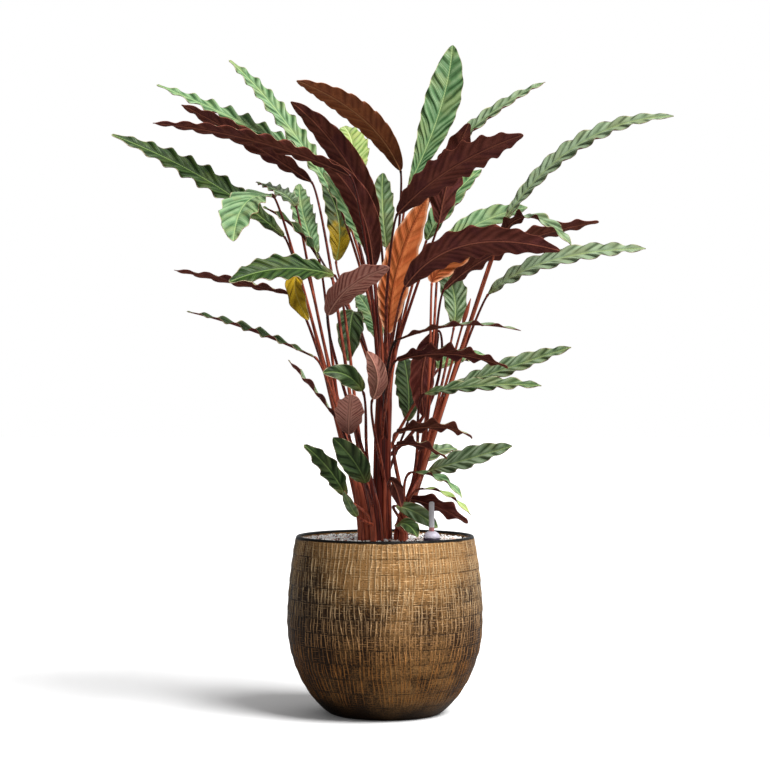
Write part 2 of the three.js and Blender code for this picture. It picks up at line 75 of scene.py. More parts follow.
# Blades and stalks, as in the part
WAVE_PITCH = 26
WAVE_SCALLOP = 0.1
BLADE_FOLD = 0.16
BLADE_FOOT = 4
BLADE_TIP = 1.6
BLUNTING = 0.72
WIDEST = 0.46
DEPTH_SPREAD = 1.3
PETIOLE_FOOT = 3
PETIOLE_TOP = 1.4
PETIOLE_HOOK = 18
HOOK_SHARE = 0.3
RISE_SHARE = 0.3
RELEASE_SHARE = 0.42
HIGHEST_RELEASE = 0.96
UPRIGHT_SHARE = 0.35

SHOOTS = {
    "left": {"foot": (-24, -20), "foot_radius": 11.5, "top": (-47, -10, 335), "top_radius": 8.5},
    "front": {"foot": (-10, -38), "foot_radius": 9, "top": (-25, -44, 318), "top_radius": 7.5},
    "centre": {"foot": (-4, 0), "foot_radius": 14, "top": (-3, -4, 410), "top_radius": 10.5},
    "right": {"foot": (20, -10), "foot_radius": 9.5, "top": (36, -10, 285), "top_radius": 8},
    "back": {"foot": (-3, 28), "foot_radius": 10, "top": (2, 44, 400), "top_radius": 7.5},
    "low": {"foot": (22, -37), "foot_radius": 6, "top": (24, -43, 248), "top_radius": 4},
}


def leaf(name, hue, width, ruffle, face, *places, sway=(0, 0), widest=WIDEST, young=False):
    """A leaf row: full width, height of the edge waves, the way its green side looks, then the
    blade's foot, bend and tip. A sway bends its petiole aside, and widest is where along it the
    blade is broadest."""
    foot, bend, tip = (np.array([x, y * DEPTH_SPREAD, z], float) for x, y, z in places)
    return {"name": name, "hue": hue, "width": width, "ruffle": ruffle, "sway": sway,
            "face": np.array(face, float), "foot": foot, "bend": bend, "tip": tip,
            "widest": widest, "young": young}


LEAVES = {
    "left": [
        leaf("far_left", "green", 40, 3, (0.1, -0.7, 0.7),
             (-130, 5, 610), (-220, -5, 690), (-345, -30, 735)),
        leaf("left_droop", "pale", 56, 2.5, (-0.2, -0.7, 0.7),
             (-140, -45, 655), (-180, -95, 660), (-180, -150, 590), sway=(0, 12)),
        leaf("left_curl", "dark", 28, 2.5, (-0.2, 0.4, 0.9),
             (-115, 20, 650), (-130, 60, 675), (-175, 130, 695)),
        leaf("left_twist", "green", 34, 3, (0.5, -0.2, 0.8),
             (-85, -5, 580), (-110, -10, 625), (-155, -20, 645)),
        leaf("left_thin_dark", "dark", 32, 3, (0, 0.15, 1),
             (-120, -5, 535), (-200, -25, 550), (-262, -60, 562)),
        leaf("left_yellow", "yellow", 26, 1.5, (-0.5, -0.8, 0.3),
             (-105, -34, 570), (-125, -48, 545), (-95, -58, 500)),
        leaf("left_thin", "deep", 28, 3, (0.2, -0.2, 1),
             (-90, -30, 455), (-175, -45, 495), (-245, -70, 510)),
        leaf("left_low_thin", "dark", 24, 3.5, (0.7, 0.1, 0.7),
             (-60, -30, 375), (-90, -40, 415), (-120, -60, 450)),
    ],
    "front": [
        leaf("left_upper", "dark", 38, 3, (0.1, 0.5, 0.9),
             (-95, 5, 680), (-185, -10, 740), (-255, -45, 770)),
        leaf("left_mid", "green", 42, 2.5, (0, -0.8, 0.6),
             (-64, -60, 556), (-128, -85, 574), (-188, -120, 543)),
        leaf("front_ribbed", "mauve", 38, 1.5, (-0.3, 0.9, 0.3),
             (-70, -85, 505), (-50, -105, 545), (5, -130, 560)),
        leaf("left_mauve", "mauve", 37, 1.5, (0, 0.7, 0.7),
             (-45, -60, 358), (-45, -95, 385), (-40, -140, 408)),
        leaf("front_deep", "deep", 35, 2.5, (-0.2, -1, 0.1),
             (-24, -54, 297), (-36, -70, 328), (-64, -80, 354)),
        leaf("low_left", "deep", 26, 3.5, (-0.2, -0.8, 0.5),
             (-50, -35, 280), (-65, -50, 315), (-100, -75, 345)),
        leaf("front_small", "deep", 26, 2.5, (-0.1, -1, 0.2),
             (-28, -66, 412), (-45, -80, 440), (-76, -88, 434), young=True),
        leaf("low_sliver", "green", 14, 1.5, (-0.3, -0.8, 0.5),
             (-35, -50, 255), (-45, -60, 270), (-50, -75, 288), young=True),
    ],
    "centre": [
        leaf("left_long", "dark", 34, 3, (0.1, 0.4, 0.9),
             (-45, -60, 680), (-155, -80, 730), (-280, -120, 735), sway=(-8, -14)),
        leaf("centre_folded", "dark", 40, 2, (0.4, 0.8, 0.3),
             (-15, -10, 570), (-20, -20, 665), (-85, -40, 705)),
        leaf("right_big", "dark", 48, 3, (-0.3, 0.8, 0.4),
             (16, -85, 630), (72, -110, 690), (163, -165, 714)),
        leaf("copper_upright", "copper", 44, 0.8, (0.1, 1, 0),
             (5, -15, 485), (5, -10, 575), (55, 0, 660)),
        leaf("right_front", "dark", 44, 2.5, (0, 0.9, 0.5),
             (25, -85, 540), (80, -110, 618), (210, -130, 580)),
        leaf("right_twist", "dark", 28, 2.5, (0, 0, 1),
             (15, -60, 475), (90, -85, 505), (165, -110, 485)),
        leaf("right_scallop", "dark", 32, 4, (0, 0.5, 0.9),
             (15, -55, 450), (80, -75, 470), (150, -100, 440)),
        leaf("front_mauve", "mauve", 26, 1.5, (0, 1, 0.3),
             (-15, -75, 402), (0, -85, 430), (-22, -95, 460), young=True),
    ],
    "right": [
        leaf("right_pale", "pale", 40, 3, (-0.2, -0.8, 0.6),
             (75, 40, 600), (125, 45, 640), (187, 50, 652)),
        leaf("far_right", "green", 32, 3, (-0.35, -0.65, 0.65),
             (156, 10, 635), (243, 5, 762), (366, -20, 760)),
        leaf("right_curl", "dark", 34, 4, (0, 0, 1),
             (146, -45, 606), (174, -76, 656), (226, -112, 588), sway=(0, -25)),
        leaf("right_long", "dark", 38, 3, (-0.2, 0.5, 0.8),
             (75, -26, 540), (140, -30, 605), (270, -30, 625)),
        leaf("right_reach", "green", 35, 3.5, (-0.2, -0.65, 0.7),
             (132, -12, 535), (190, -25, 590), (325, -55, 589)),
        leaf("right_inner_low", "green", 36, 3, (0.1, -0.8, 0.4),
             (90, 40, 495), (100, 55, 550), (68, 110, 590)),
        leaf("right_low", "green", 34, 3, (0, -0.65, 0.7),
             (80, -15, 413), (152, -35, 441), (232, -55, 466)),
        leaf("right_low_near", "green", 32, 3, (0, -0.5, 0.8),
             (50, -45, 408), (122, -65, 424), (192, -85, 418)),
        leaf("copper_small", "copper", 34, 1, (-0.2, 1, 0.2),
             (60, -5, 550), (65, 0, 575), (120, 5, 595), young=True),
        leaf("low_behind", "green", 24, 2.5, (0, -0.7, 0.7),
             (50, 15, 320), (70, 35, 340), (95, 60, 335), young=True),
        leaf("rim_dark", "dark", 34, 3, (0, 0.6, 0.8),
             (30, -20, 275), (65, -20, 270), (105, -30, 245), young=True),
    ],
    "back": [
        leaf("centre_dark", "dark", 43, 2.5, (0.4, 0.8, 0.4),
             (-10, 25, 635), (-55, 20, 735), (-120, -10, 780)),
        leaf("crest_brown", "brown", 44, 2.5, (0.3, 0.8, 0.5),
             (20, 45, 700), (-12, 15, 772), (-108, -90, 792)),
        leaf("crest_upright", "pale", 50, 2.5, (-0.1, -1, 0.2),
             (32, 70, 684), (84, 90, 788), (91, 105, 876), widest=0.6),
        leaf("centre_small", "green", 32, 3, (0, -0.9, 0.4),
             (2, 55, 600), (-6, 70, 658), (-3, 120, 706)),
        leaf("right_behind", "dark", 44, 3, (-0.3, 0.8, 0.4),
             (70, 40, 630), (84, 35, 710), (108, 5, 755)),
        leaf("high_right", "green", 34, 2.5, (-0.5, -0.5, 0.7),
             (80, 110, 725), (130, 125, 790), (220, 150, 835)),
        leaf("right_inner", "pale", 38, 3, (-0.4, -0.7, 0.5),
             (55, 60, 610), (85, 75, 675), (130, 110, 710)),
        leaf("right_back", "pale", 34, 2.5, (0, -0.7, 0.7),
             (70, 50, 440), (85, 75, 462), (137, 130, 460)),
        leaf("inner_dark", "dark", 34, 2, (0, 1, 0.2),
             (68, 28, 488), (40, 30, 450), (50, 8, 378), sway=(85, 30)),
        leaf("high_left", "pale", 34, 3.5, (0, -0.5, 0.8),
             (-80, 88, 710), (-190, 95, 775), (-305, 90, 820), sway=(0, 25)),
        leaf("high_spear", "pale", 32, 3, (0.5, -0.7, 0.3),
             (-65, 50, 665), (-138, 70, 790), (-210, 110, 857)),
        leaf("back_round", "lime", 46, 2.5, (0, -0.7, 0.6),
             (-50, 95, 680), (-34, 130, 750), (-58, 200, 782)),
        leaf("inner_left", "pale", 26, 2.5, (0.4, -0.8, 0.4),
             (-20, 35, 590), (-50, 40, 655), (-80, 32, 695)),
        leaf("inner_yellowing", "yellow", 34, 2.5, (0.1, -0.9, 0.3),
             (-65, 85, 585), (-50, 95, 645), (-85, 120, 695), sway=(-14, 14)),
        leaf("back_left", "pale", 32, 2.5, (0.1, -0.8, 0.5),
             (-90, 80, 595), (-115, 110, 645), (-120, 190, 700), sway=(-4, 26)),
        leaf("back_olive", "deep", 36, 2.5, (0, -0.9, 0.4),
             (-40, 60, 515), (-45, 35, 520), (-48, 18, 450)),
        leaf("back_pale", "pale", 32, 2.5, (0, -0.8, 0.5),
             (-8, 66, 478), (-15, 95, 515), (-38, 160, 545)),
        leaf("back_right_olive", "deep", 36, 2.5, (0, -0.8, 0.5),
             (30, 45, 372), (35, 70, 413), (25, 140, 460)),
    ],
    "low": [
        leaf("low_thin_dark", "dark", 28, 4, (0, 0.5, 0.9),
             (15, -55, 360), (75, -75, 378), (107, -95, 354)),
        leaf("low_right", "green", 38, 3, (0, -0.65, 0.6),
             (55, -20, 310), (97, -35, 324), (158, -60, 343)),
        leaf("low_short", "dark", 28, 3.5, (0, 0.5, 0.8),
             (15, -75, 345), (45, -90, 352), (75, -115, 330), young=True),
        leaf("low_green", "pale", 18, 3, (0.2, -0.2, 0.9),
             (35, -50, 310), (75, -60, 310), (95, -75, 280), young=True),
        leaf("low_lime", "lime", 14, 2.5, (0.2, -0.1, 0.9),
             (45, -60, 290), (75, -75, 295), (105, -90, 260), young=True),
        leaf("rim_green", "green", 22, 3.5, (0, -1, 0.15),
             (14, -51, 268), (38, -50, 265), (66, -42, 240), young=True),
        leaf("rim_small", "deep", 22, 2.5, (0, -0.7, 0.7),
             (15, -50, 245), (30, -65, 252), (40, -80, 232), young=True),
        leaf("rim_crumpled", "dark", 18, 2.5, (0, 1, 0.3),
             (6, -62, 300), (12, -70, 304), (20, -72, 268), young=True),
    ],
}

# The rolled young leaf between the right-hand petioles
SPROUT_FOOT = np.array((100, 5, 498), float)
SPROUT_TIP = np.array((110, 5, 530), float)
SPROUT_RADIUS = 3.2

# The looks of the two faces of each hue, upper then under
FACES = {
    "green": ("green", "maroon"),
    "pale": ("pale", "maroon"),
    "lime": ("lime", "maroon"),
    "deep": ("deep", "maroon"),
    "dark": ("green", "maroon"),
    "brown": ("green", "russet"),
    "copper": ("green", "copper"),
    "mauve": ("green", "mauve"),
    "yellow": ("yellow", "yellow"),
}

# The faces of those rows that differ from their hue
OWN_FACES = {
    "inner_yellowing": ("turning", "maroon"),
    "left_mid": ("fresh", "maroon"),
    "far_left": ("fresh", "maroon"),
    "left_twist": ("fresh", "maroon"),
}

# How pale a leaf is, where it isn't middling: partly its own colour, partly painted light, as leaves that
# stand in the lamp's light are made paler and those inside the plant darker
TONES = {
    "far_left": 0.15, "left_mid": 0.25, "left_twist": 0.1, "left_droop": 0.65, "high_left": 0.5,
    "high_spear": 0.52, "far_right": 1.0, "high_right": 0.6, "right_reach": 1.1, "right_low": 0.55,
    "right_low_near": 0.35, "low_right": 0.65, "rim_green": 0.25, "right_pale": 0.8, "right_inner": 0.4,
    "crest_upright": 0.35, "centre_small": 0.2, "right_inner_low": 0.4, "right_back": 0.2,
    "left_upper": 0.55, "left_long": 0.55, "centre_dark": 0.5, "centre_folded": 0.5, "right_big": 0.8,
    "right_front": 0.6, "right_long": 0.7, "right_behind": 0.35, "inner_dark": 0.1,
    "right_scallop": 0.25, "right_twist": 0.6, "front_ribbed": 0.55, "left_mauve": 0.95,
    "front_mauve": 1.0, "left_thin_dark": 0.8, "low_thin_dark": 0.6, "low_short": 0.4,
}

# How pale each shoot's stalks are: partly their own colour, partly painted light, as the shoot on the lit
# right is made paler and the one in the middle darker
STALK_TONES = {"left": 0.48, "front": 0.42, "centre": 0.3, "right": 0.7, "back": 0.45, "low": 0.5}


# Colours and nodes

def colour(code):
    """An sRGB hex value as linear RGBA."""
    parts = [int(code[i:i + 2], 16) / 255 for i in (1, 3, 5)]
    return tuple(c / 12.92 if c <= 0.04045 else ((c + 0.055) / 1.055) ** 2.4 for c in parts) + (1.0,)


def colours(*codes):
    return [colour(code) for code in codes]


class Value:
    """A node's output that can be reckoned with: each step adds a Math node to its tree."""

    def __init__(self, socket):
        self.socket = socket
        self.tree = socket.id_data

    def __add__(self, other):
        return maths("ADD", self, other)

    def __sub__(self, other):
        return maths("SUBTRACT", self, other)

    def __rsub__(self, other):
        return maths("SUBTRACT", other, self)

    def __mul__(self, other):
        return maths("MULTIPLY", self, other)

    def __truediv__(self, other):
        return maths("DIVIDE", self, other)

    def __abs__(self):
        return maths("ABSOLUTE", self)


def connect(node, inputs):
    """Links or sets a node's inputs by name or place."""
    for key, value in inputs.items():
        if isinstance(value, Value):
            node.id_data.links.new(value.socket, node.inputs[key])
        else:
            node.inputs[key].default_value = value


def add(tree, kind, settings=None, inputs=None):
    """Adds a node with its settings and its inputs."""
    node = tree.nodes.new(kind)
    for name, value in (settings or {}).items():
        setattr(node, name, value)
    connect(node, inputs or {})
    return node


def put(tree, kind, settings=None, inputs=None, out=0):
    """Adds a node and gives one of its outputs."""
    return Value(add(tree, kind, settings, inputs).outputs[out])


def maths(operation, *values):
    """A Math node, in the tree of those values that are outputs."""
    tree = next(value.tree for value in values if isinstance(value, Value))
    return put(tree, "ShaderNodeMath", {"operation": operation}, dict(enumerate(values)))


def highest(first, second):
    return maths("MAXIMUM", first, second)


def parts(vector):
    """The three parts of a vector."""
    split = add(vector.tree, "ShaderNodeSeparateXYZ", inputs={0: vector})
    return [Value(part) for part in split.outputs]


def vector_of(*values):
    return put(values[0].tree, "ShaderNodeCombineXYZ", inputs=dict(enumerate(values)))


def attribute(tree, name, out="Fac"):
    return put(tree, "ShaderNodeAttribute", {"attribute_name": name}, out=out)


def blended(share, first, second):
    """One colour turning into another as share goes from 0 to 1."""
    return put(share.tree, "ShaderNodeMix", {"data_type": "RGBA"}, {0: share, 6: first, 7: second}, out=2)


def stepped(value, low, high):
    """Rises smoothly from 0 to 1 as value goes from low to high."""
    settings = {"interpolation_type": "SMOOTHSTEP"}
    return put(value.tree, "ShaderNodeMapRange", settings, {0: value, 1: low, 2: high})


def noise(place, millimetres, detail=2.0, stretch=(1, 1, 1)):
    """Noise from 0 to 1 whose clumps are about that many millimetres across, drawn out by stretch."""
    scale = tuple(1 / (millimetres * MM * s) for s in stretch)
    moved = put(place.tree, "ShaderNodeMapping", inputs={"Vector": place, "Scale": scale})
    return put(place.tree, "ShaderNodeTexNoise", inputs={"Vector": moved, "Scale": 1.0, "Detail": detail})


def bumped(height, millimetres, strength):
    """The normal of a surface raised by up to that many millimetres."""
    return put(height.tree, "ShaderNodeBump", inputs={
        "Height": height, "Distance": millimetres * MM, "Strength": strength})


def new_material(name):
    """An empty node material, its Principled shader, and each point's place in the part's frame."""
    material = bpy.data.materials.new(name)
    material.use_nodes = True
    tree = material.node_tree
    tree.nodes.clear()
    shader = add(tree, "ShaderNodeBsdfPrincipled")
    add(tree, "ShaderNodeOutputMaterial", inputs={"Surface": Value(shader.outputs[0])})
    return material, shader, put(tree, "ShaderNodeTexCoord", out="Object")


def new_group(name, sockets, result):
    """An empty geometry group with named inputs: its tree, their identifiers, and what they give."""
    tree = bpy.data.node_groups.new(name, "GeometryNodeTree")
    ports = {}
    for key, kind in sockets.items():
        socket = tree.interface.new_socket(key, in_out="INPUT", socket_type="NodeSocket" + kind)
        ports[key] = socket.identifier
    tree.interface.new_socket(result, in_out="OUTPUT", socket_type="NodeSocketGeometry")
    given = add(tree, "NodeGroupInput").outputs
    return tree, ports, {key: Value(given[key]) for key in sockets}


def end_group(geometry, material):
    """Ends a geometry group with real geometry of that material."""
    real = put(geometry.tree, "GeometryNodeRealizeInstances", inputs={0: geometry})
    done = put(geometry.tree, "GeometryNodeSetMaterial", inputs={"Geometry": real, "Material": material})
    add(geometry.tree, "NodeGroupOutput", inputs={0: done})


# Meshes

def placed(name, data):
    """A new object in the scene, at the origin."""
    thing = bpy.data.objects.new(name, data)
    bpy.context.scene.collection.objects.link(thing)
    return thing


def give_attribute(mesh, name, values):
    values = np.asarray(values, np.float32)
    kind, field = ("FLOAT", "value") if values.ndim == 1 else ("FLOAT_VECTOR", "vector")
    mesh.attributes.new(name, kind, "POINT").data.foreach_set(field, values.ravel())


def new_piece(name, vertices, faces, materials, indices=None, attributes=None, sharp=40):
    """A mesh object in the part's frame from points in millimetres."""
    mesh = bpy.data.meshes.new(name)
    mesh.from_pydata((np.asarray(vertices) * MM).tolist(), [], faces)
    for material in materials:
        mesh.materials.append(material)
    if indices is not None:
        mesh.polygons.foreach_set("material_index", np.asarray(indices, np.int32))
    for key, values in (attributes or {}).items():
        give_attribute(mesh, key, values)
    mesh.polygons.foreach_set("use_smooth", np.ones(len(mesh.polygons), bool))
    mesh.set_sharp_from_angle(angle=math.radians(sharp))
    mesh.update()
    return placed(name, mesh)


def settle(piece, slot, *nodes):
    """Ties a finished piece to the part's body and hides the nodes it stands for. Its slot is not used."""
    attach(piece, BODY)
    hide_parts(*nodes)


def grown_from(carrier, tree, inputs, name):
    """The carrier with a geometry group applied, as a plain mesh object in its place. The inputs are
    given by their identifiers."""
    modifier = carrier.modifiers.new(tree.name, "NODES")
    modifier.node_group = tree
    for port, value in inputs.items():
        modifier[port] = value
    graph = bpy.context.evaluated_depsgraph_get()
    mesh = bpy.data.meshes.new_from_object(carrier.evaluated_get(graph))
    mesh.name = name
    source = carrier.data
    bpy.data.objects.remove(carrier)
    bpy.data.meshes.remove(source)
    return placed(name, mesh)


def lathe(profile, segments, angles=None, change=0):
    """Points and faces of a closed profile of (radius, height) turned about Z. The profile starts and
    ends on the axis. Where they are given, angles and change say for each of its rings where the
    points stand and how far they are moved outward."""
    profile = np.asarray(profile, float)
    rings = profile[1:-1]
    if angles is None:
        angles = np.tile(np.arange(segments) * 2 * math.pi / segments, (len(rings), 1))
    radii = np.repeat(rings[:, :1], segments, axis=1) + change
    heights = np.repeat(rings[:, 1:], segments, axis=1)
    points = np.stack([radii * np.cos(angles), radii * np.sin(angles), heights], axis=2).reshape(-1, 3)
    first, last = len(points), len(points) + 1
    points = np.vstack([points, [0, 0, profile[0, 1]], [0, 0, profile[-1, 1]]])
    faces = []
    for i in range(len(rings) - 1):
        low, high = i * segments, (i + 1) * segments
        for j in range(segments):
            k = (j + 1) % segments
            faces.append((low + j, low + k, high + k, high + j))
    top = (len(rings) - 1) * segments
    for j in range(segments):
        k = (j + 1) % segments
        faces.append((first, k, j))
        faces.append((last, top + j, top + k))
    return points, faces


def smooth(low, high, values):
    """Rises smoothly from 0 at low to 1 at high."""
    share = np.clip((values - low) / (high - low), 0, 1)
    return share * share * (3 - 2 * share)


def on_curve(controls, shares):
    """Points and unit tangents of a Bezier curve at shares from 0 to 1."""
    t = np.asarray(shares, float)[:, None]
    layers = [np.repeat(np.asarray(c, float)[None, :], len(t), axis=0) for c in controls]
    while len(layers) > 2:
        layers = [a * (1 - t) + b * t for a, b in zip(layers, layers[1:])]
    tangents = layers[1] - layers[0]
    tangents /= np.linalg.norm(tangents, axis=1, keepdims=True)
    return layers[0] * (1 - t) + layers[1] * t, tangents


def even_shares(controls, shares):
    """The curve's own shares at even steps of its length, and that length."""
    dense = np.linspace(0, 1, 401)
    points, _ = on_curve(controls, dense)
    run = np.concatenate([[0], np.cumsum(np.linalg.norm(np.diff(points, axis=0), axis=1))])
    return np.interp(np.asarray(shares) * run[-1], run, dense), run[-1]


# Planter

BAND_HEIGHT = 18.6
FINER_STROKES = 1.63
PLANTER_LEVELS = 118
LIP_LINE = (223.4, 224.2)


def planter_radius(height):
    """The outside radius at a height, as in the part."""
    height = np.asarray(height, float)
    drop = np.clip((BELLY_HEIGHT - height) / BELLY_HEIGHT, 0, 1)
    rise = np.clip((height - BELLY_HEIGHT) / (PLANTER_HEIGHT - BELLY_HEIGHT), 0, 1)
    below = FOOT_RADIUS + (BELLY_RADIUS - FOOT_RADIUS) * (1 - drop ** 2.1) ** 0.78
    above = BELLY_RADIUS - (BELLY_RADIUS - RIM_RADIUS) * rise ** 1.75
    return np.where(height < BELLY_HEIGHT, below, above)


def white_noise(vector):
    return put(vector.tree, "ShaderNodeTexWhiteNoise", {"noise_dimensions": "3D"}, {"Vector": vector},
               out="Value")


def finer_comb(place, angle, height, lines):
    """Thin upright strokes between the modelled ones, that many around: how strongly each place carries
    one, from 0 to 1. The comb was set anew at each level band, so a stroke may step aside there."""
    band = maths("FLOOR", height / (BAND_HEIGHT * MM))
    step = put(place.tree, "ShaderNodeTexWhiteNoise", {"noise_dimensions": "1D"}, {"W": band}, out="Value")
    turns = angle * (lines / (2 * math.pi)) + step * 0.22
    turns = turns + noise(place, 80) * 1.3 + noise(place, 6, detail=1) * 0.3
    number = maths("FLOOR", turns + 0.5)
    lasting = white_noise(vector_of(number, lines))
    passing = white_noise(vector_of(number, lines, band))
    strength = stepped(lasting / 3 + passing / 1.5, 0.3, 0.8)
    whole = stepped(noise(place, 4, stretch=(1, 1, 0.8)), 0.36, 0.5) * 0.6 + 0.4
    return strength * whole * stepped(abs(turns - number), 0.225, 0.075)


def glazed_stoneware(settings):
    """Dark brown stoneware glaze, combed and scratched while soft and rubbed with bronze: the thin
    raised strokes shine like old gold, the ground between them stays brown and pitted, and the lip is
    plain black glaze."""
    material, shader, place = new_material("combed bronze-rubbed stoneware glaze")
    x, y, height = parts(place)
    worn = stepped(noise(place, 5, detail=3, stretch=(0.6, 0.6, 1.8)), 0.3, 0.58)
    rubbed = stepped(noise(place, 26, detail=3), 0.36, 0.58)
    finer = finer_comb(place, maths("ARCTAN2", y, x), height, settings.strokes * FINER_STROKES)
    stroke = highest(attribute(place.tree, "stroke"), finer * 0.7)
    stroke = stroke * (worn * 0.5 + 0.5) * (rubbed * 0.45 + 0.55)

    # Level scratches, light and dark, broken into short pieces, and the seams between level bands
    level = height / settings.scratch_pitch + noise(place, 45) * 1.6
    away = abs(maths("FRACT", level) - 0.5)
    scratch = stepped(away, 0.16, 0.03) * stepped(noise(place, 8, stretch=(1, 1, 0.2)), 0.5, 0.6)
    cut = stepped(away, 0.34, 0.46) * stepped(noise(place, 11, stretch=(1, 1, 0.15)), 0.46, 0.58)
    seam = abs(maths("FRACT", height / (BAND_HEIGHT * MM)) - 0.5)
    seam = stepped(seam, 0.45, 0.49) * stepped(noise(place, 26, stretch=(1, 1, 0.3)), 0.47, 0.6)
    grit = noise(place, 1.7, detail=3, stretch=(1, 1, 1.5))
    pits = stepped(noise(place, 2.4), 0.58, 0.72)
    hollow = highest(highest(pits * 0.7, seam * 0.75), cut * 0.55)
    marks = highest(stroke * (1.0 - seam * 0.8), scratch * 0.48)

    # The ground, washed with thin bronze in patches, and paler towards the top and across the middle of the
    # front than at the left and right edges: painted light, where the lamp lights it
    crown = stepped(height, 130 * MM, 215 * MM) * 0.42
    wiped = stepped(x, -105 * MM, 0.0) * 0.32 - stepped(x, 55 * MM, 125 * MM) * 0.2
    wash_and_painted_light = noise(place, 42, detail=3) + (crown + wiped) + (grit - 0.5) * 0.8
    wash_and_painted_light = stepped(wash_and_painted_light, 0.58, 1.2)
    ground = blended(wash_and_painted_light, settings.body_brown, settings.wash_brown)
    ground = blended(hollow, ground, colour("#120b05"))

    # Painted light: the bronze of the strokes is paler towards the top, where the lamp above lights it, and
    # darker below
    bronze_painted_lit_above = blended(stepped(height, 60 * MM, 180 * MM), settings.low_bronze_painted_shade, settings.high_bronze_painted_lit)
    under_lip = stepped(height, LIP_LINE[1] * MM, LIP_LINE[0] * MM)
    plain = stepped(height, 10 * MM, 30 * MM) * under_lip
    gold = maths("MINIMUM", marks, 1.0) * plain
    glaze = blended(gold, ground, bronze_painted_lit_above)
    glaze = blended(stepped(height, 30 * MM, 6 * MM) * 0.75, glaze, colour("#22170d"))
    glaze = blended(under_lip, colour("#0b0a09"), glaze)
    connect(shader, {
        "Base Color": glaze, "Metallic": (gold * 0.4 + wash_and_painted_light * 0.45) * under_lip,
        "Specular IOR Level": 0.15, "Roughness": 0.42 - gold * 0.08 + pits * 0.25,
        "Normal": bumped(marks * 0.6 + grit * 0.6 - hollow * 0.8, 0.6, 0.9)})
    return material


# The five mesh lines of a combed stroke: where each stands, in shares of the pitch, and its height
STROKE_LINES = np.array((-0.125, -0.045, 0.045, 0.125, 0.5))
STROKE_SECTION = np.array((0, 1, 1, 0, 0))


def combed_strokes(count, levels):
    """For each level and each mesh line round the planter, the angle where it stands and how strongly
    a stroke raises it, from 0 to 1. A stroke wavers, and breaks off or weakens between level bands,
    where the comb was lifted."""
    chance = np.random.default_rng(11)
    number = np.arange(count)[None, :]
    band = np.floor(levels / BAND_HEIGHT).astype(int)
    lasting = chance.random((1, count))
    passing = chance.random((int(PLANTER_HEIGHT / BAND_HEIGHT) + 2, count))[band[:, 0]]
    strength = smooth(0.08, 0.62, (lasting + 2 * passing) / 3)
    seam = np.abs(levels / BAND_HEIGHT - band - 0.5)
    strength = strength * (1 - (0.3 + 0.65 * lasting) * smooth(0.4, 0.49, seam))
    strength = strength * smooth(8, 30, levels) * smooth(PLANTER_HEIGHT - 2.8, PLANTER_HEIGHT - 4.5, levels)
    phase = 2 * math.pi * chance.random((1, count))
    bearing = 2 * math.pi * number / count
    waver = 0.07 * np.sin(levels / 9 + phase) + 0.05 * np.sin(levels / 4.1 + 2 * phase)
    drift = 0.5 * np.sin(3 * bearing + levels / 40) + 0.3 * np.sin(7 * bearing - levels / 23)
    turned = ((number + waver + drift)[:, :, None] + STROKE_LINES) * 2 * math.pi / count
    raised = strength[:, :, None] * STROKE_SECTION
    return turned.reshape(len(levels), -1), raised.reshape(len(levels), -1)


def build_planter(settings):
    """The planter with the soft rings of its throwing, one for each level band of the comb, and the
    thin strokes that the comb raised."""
    dense = np.linspace(0, PLANTER_HEIGHT, 600)
    run = np.concatenate([[0], np.cumsum(np.hypot(np.diff(dense), np.diff(planter_radius(dense))))])
    heights = np.interp(np.linspace(0, run[-1], PLANTER_LEVELS), run, dense)[1:-1]
    heights = heights[(heights > 1.2) & (heights < PLANTER_HEIGHT - 3)]
    profile = [(0, 0.6), (FOOT_RADIUS - 9, 0.6), (FOOT_RADIUS - 6, 0), (FOOT_RADIUS - 1.5, 0)]
    profile += [(planter_radius(h) - 0.3, h) for h in heights]
    lip = WALL / 2
    for turn in np.linspace(0, math.pi, 9):
        profile.append((RIM_RADIUS - lip + lip * math.cos(turn) - 0.2,
                        PLANTER_HEIGHT - lip * (1 - math.sin(turn))))
    for h in (196, 150, 95, 44, 18):
        profile.append((planter_radius(h) - WALL, h))
    profile += [(planter_radius(FLOOR) - 2 * WALL, FLOOR), (0, FLOOR)]

    levels = np.array([level for _, level in profile[1:-1]], float)[:, None]
    shown = np.zeros_like(levels)
    shown[3:3 + len(heights)] = 1
    angles, raised = combed_strokes(settings.strokes, levels)
    raised = raised * shown
    ring = np.sin(2 * math.pi * levels / BAND_HEIGHT + 0.8 * np.sin(angles) + 0.5 * np.sin(3 * angles))
    hand = 0.5 * np.sin(5 * angles + levels / 21) * np.sin(2 * angles - levels / 33)
    fade = smooth(8, 30, levels) * smooth(PLANTER_HEIGHT - 3, PLANTER_HEIGHT - 12, levels) * shown
    change = settings.ring_height / MM * (ring + hand - 0.5) / 2 * fade
    change = change + settings.stroke_height / MM * raised

    points, faces = lathe(profile, angles.shape[1], angles, change)
    stroke = np.concatenate([raised.ravel(), [0, 0]])
    return new_piece("planter_glazed", points, faces, [glazed_stoneware(settings)],
                     attributes={"stroke": stroke}, sharp=70)


# Granulate

# The colours of the grains, each from its share of the grains up to the next. The last, near-black one also
# colours the bed, as painted shade in the gaps between the grains
GRAIN_COLOURS = {
    0.0: "#fbfaf6", 0.3: "#ece4da", 0.44: "#ffffff", 0.6: "#dfc3b5", 0.68: "#7c4638",
    0.74: "#dde3e6", 0.86: "#a89c90", 0.9: "#241c1a", 0.985: "#060505",
}
GRAINS_PER_SQUARE_METRE = 400000.0
GRAIN_FLATNESS = (0.8, 0.68)
BED_RISE = 1


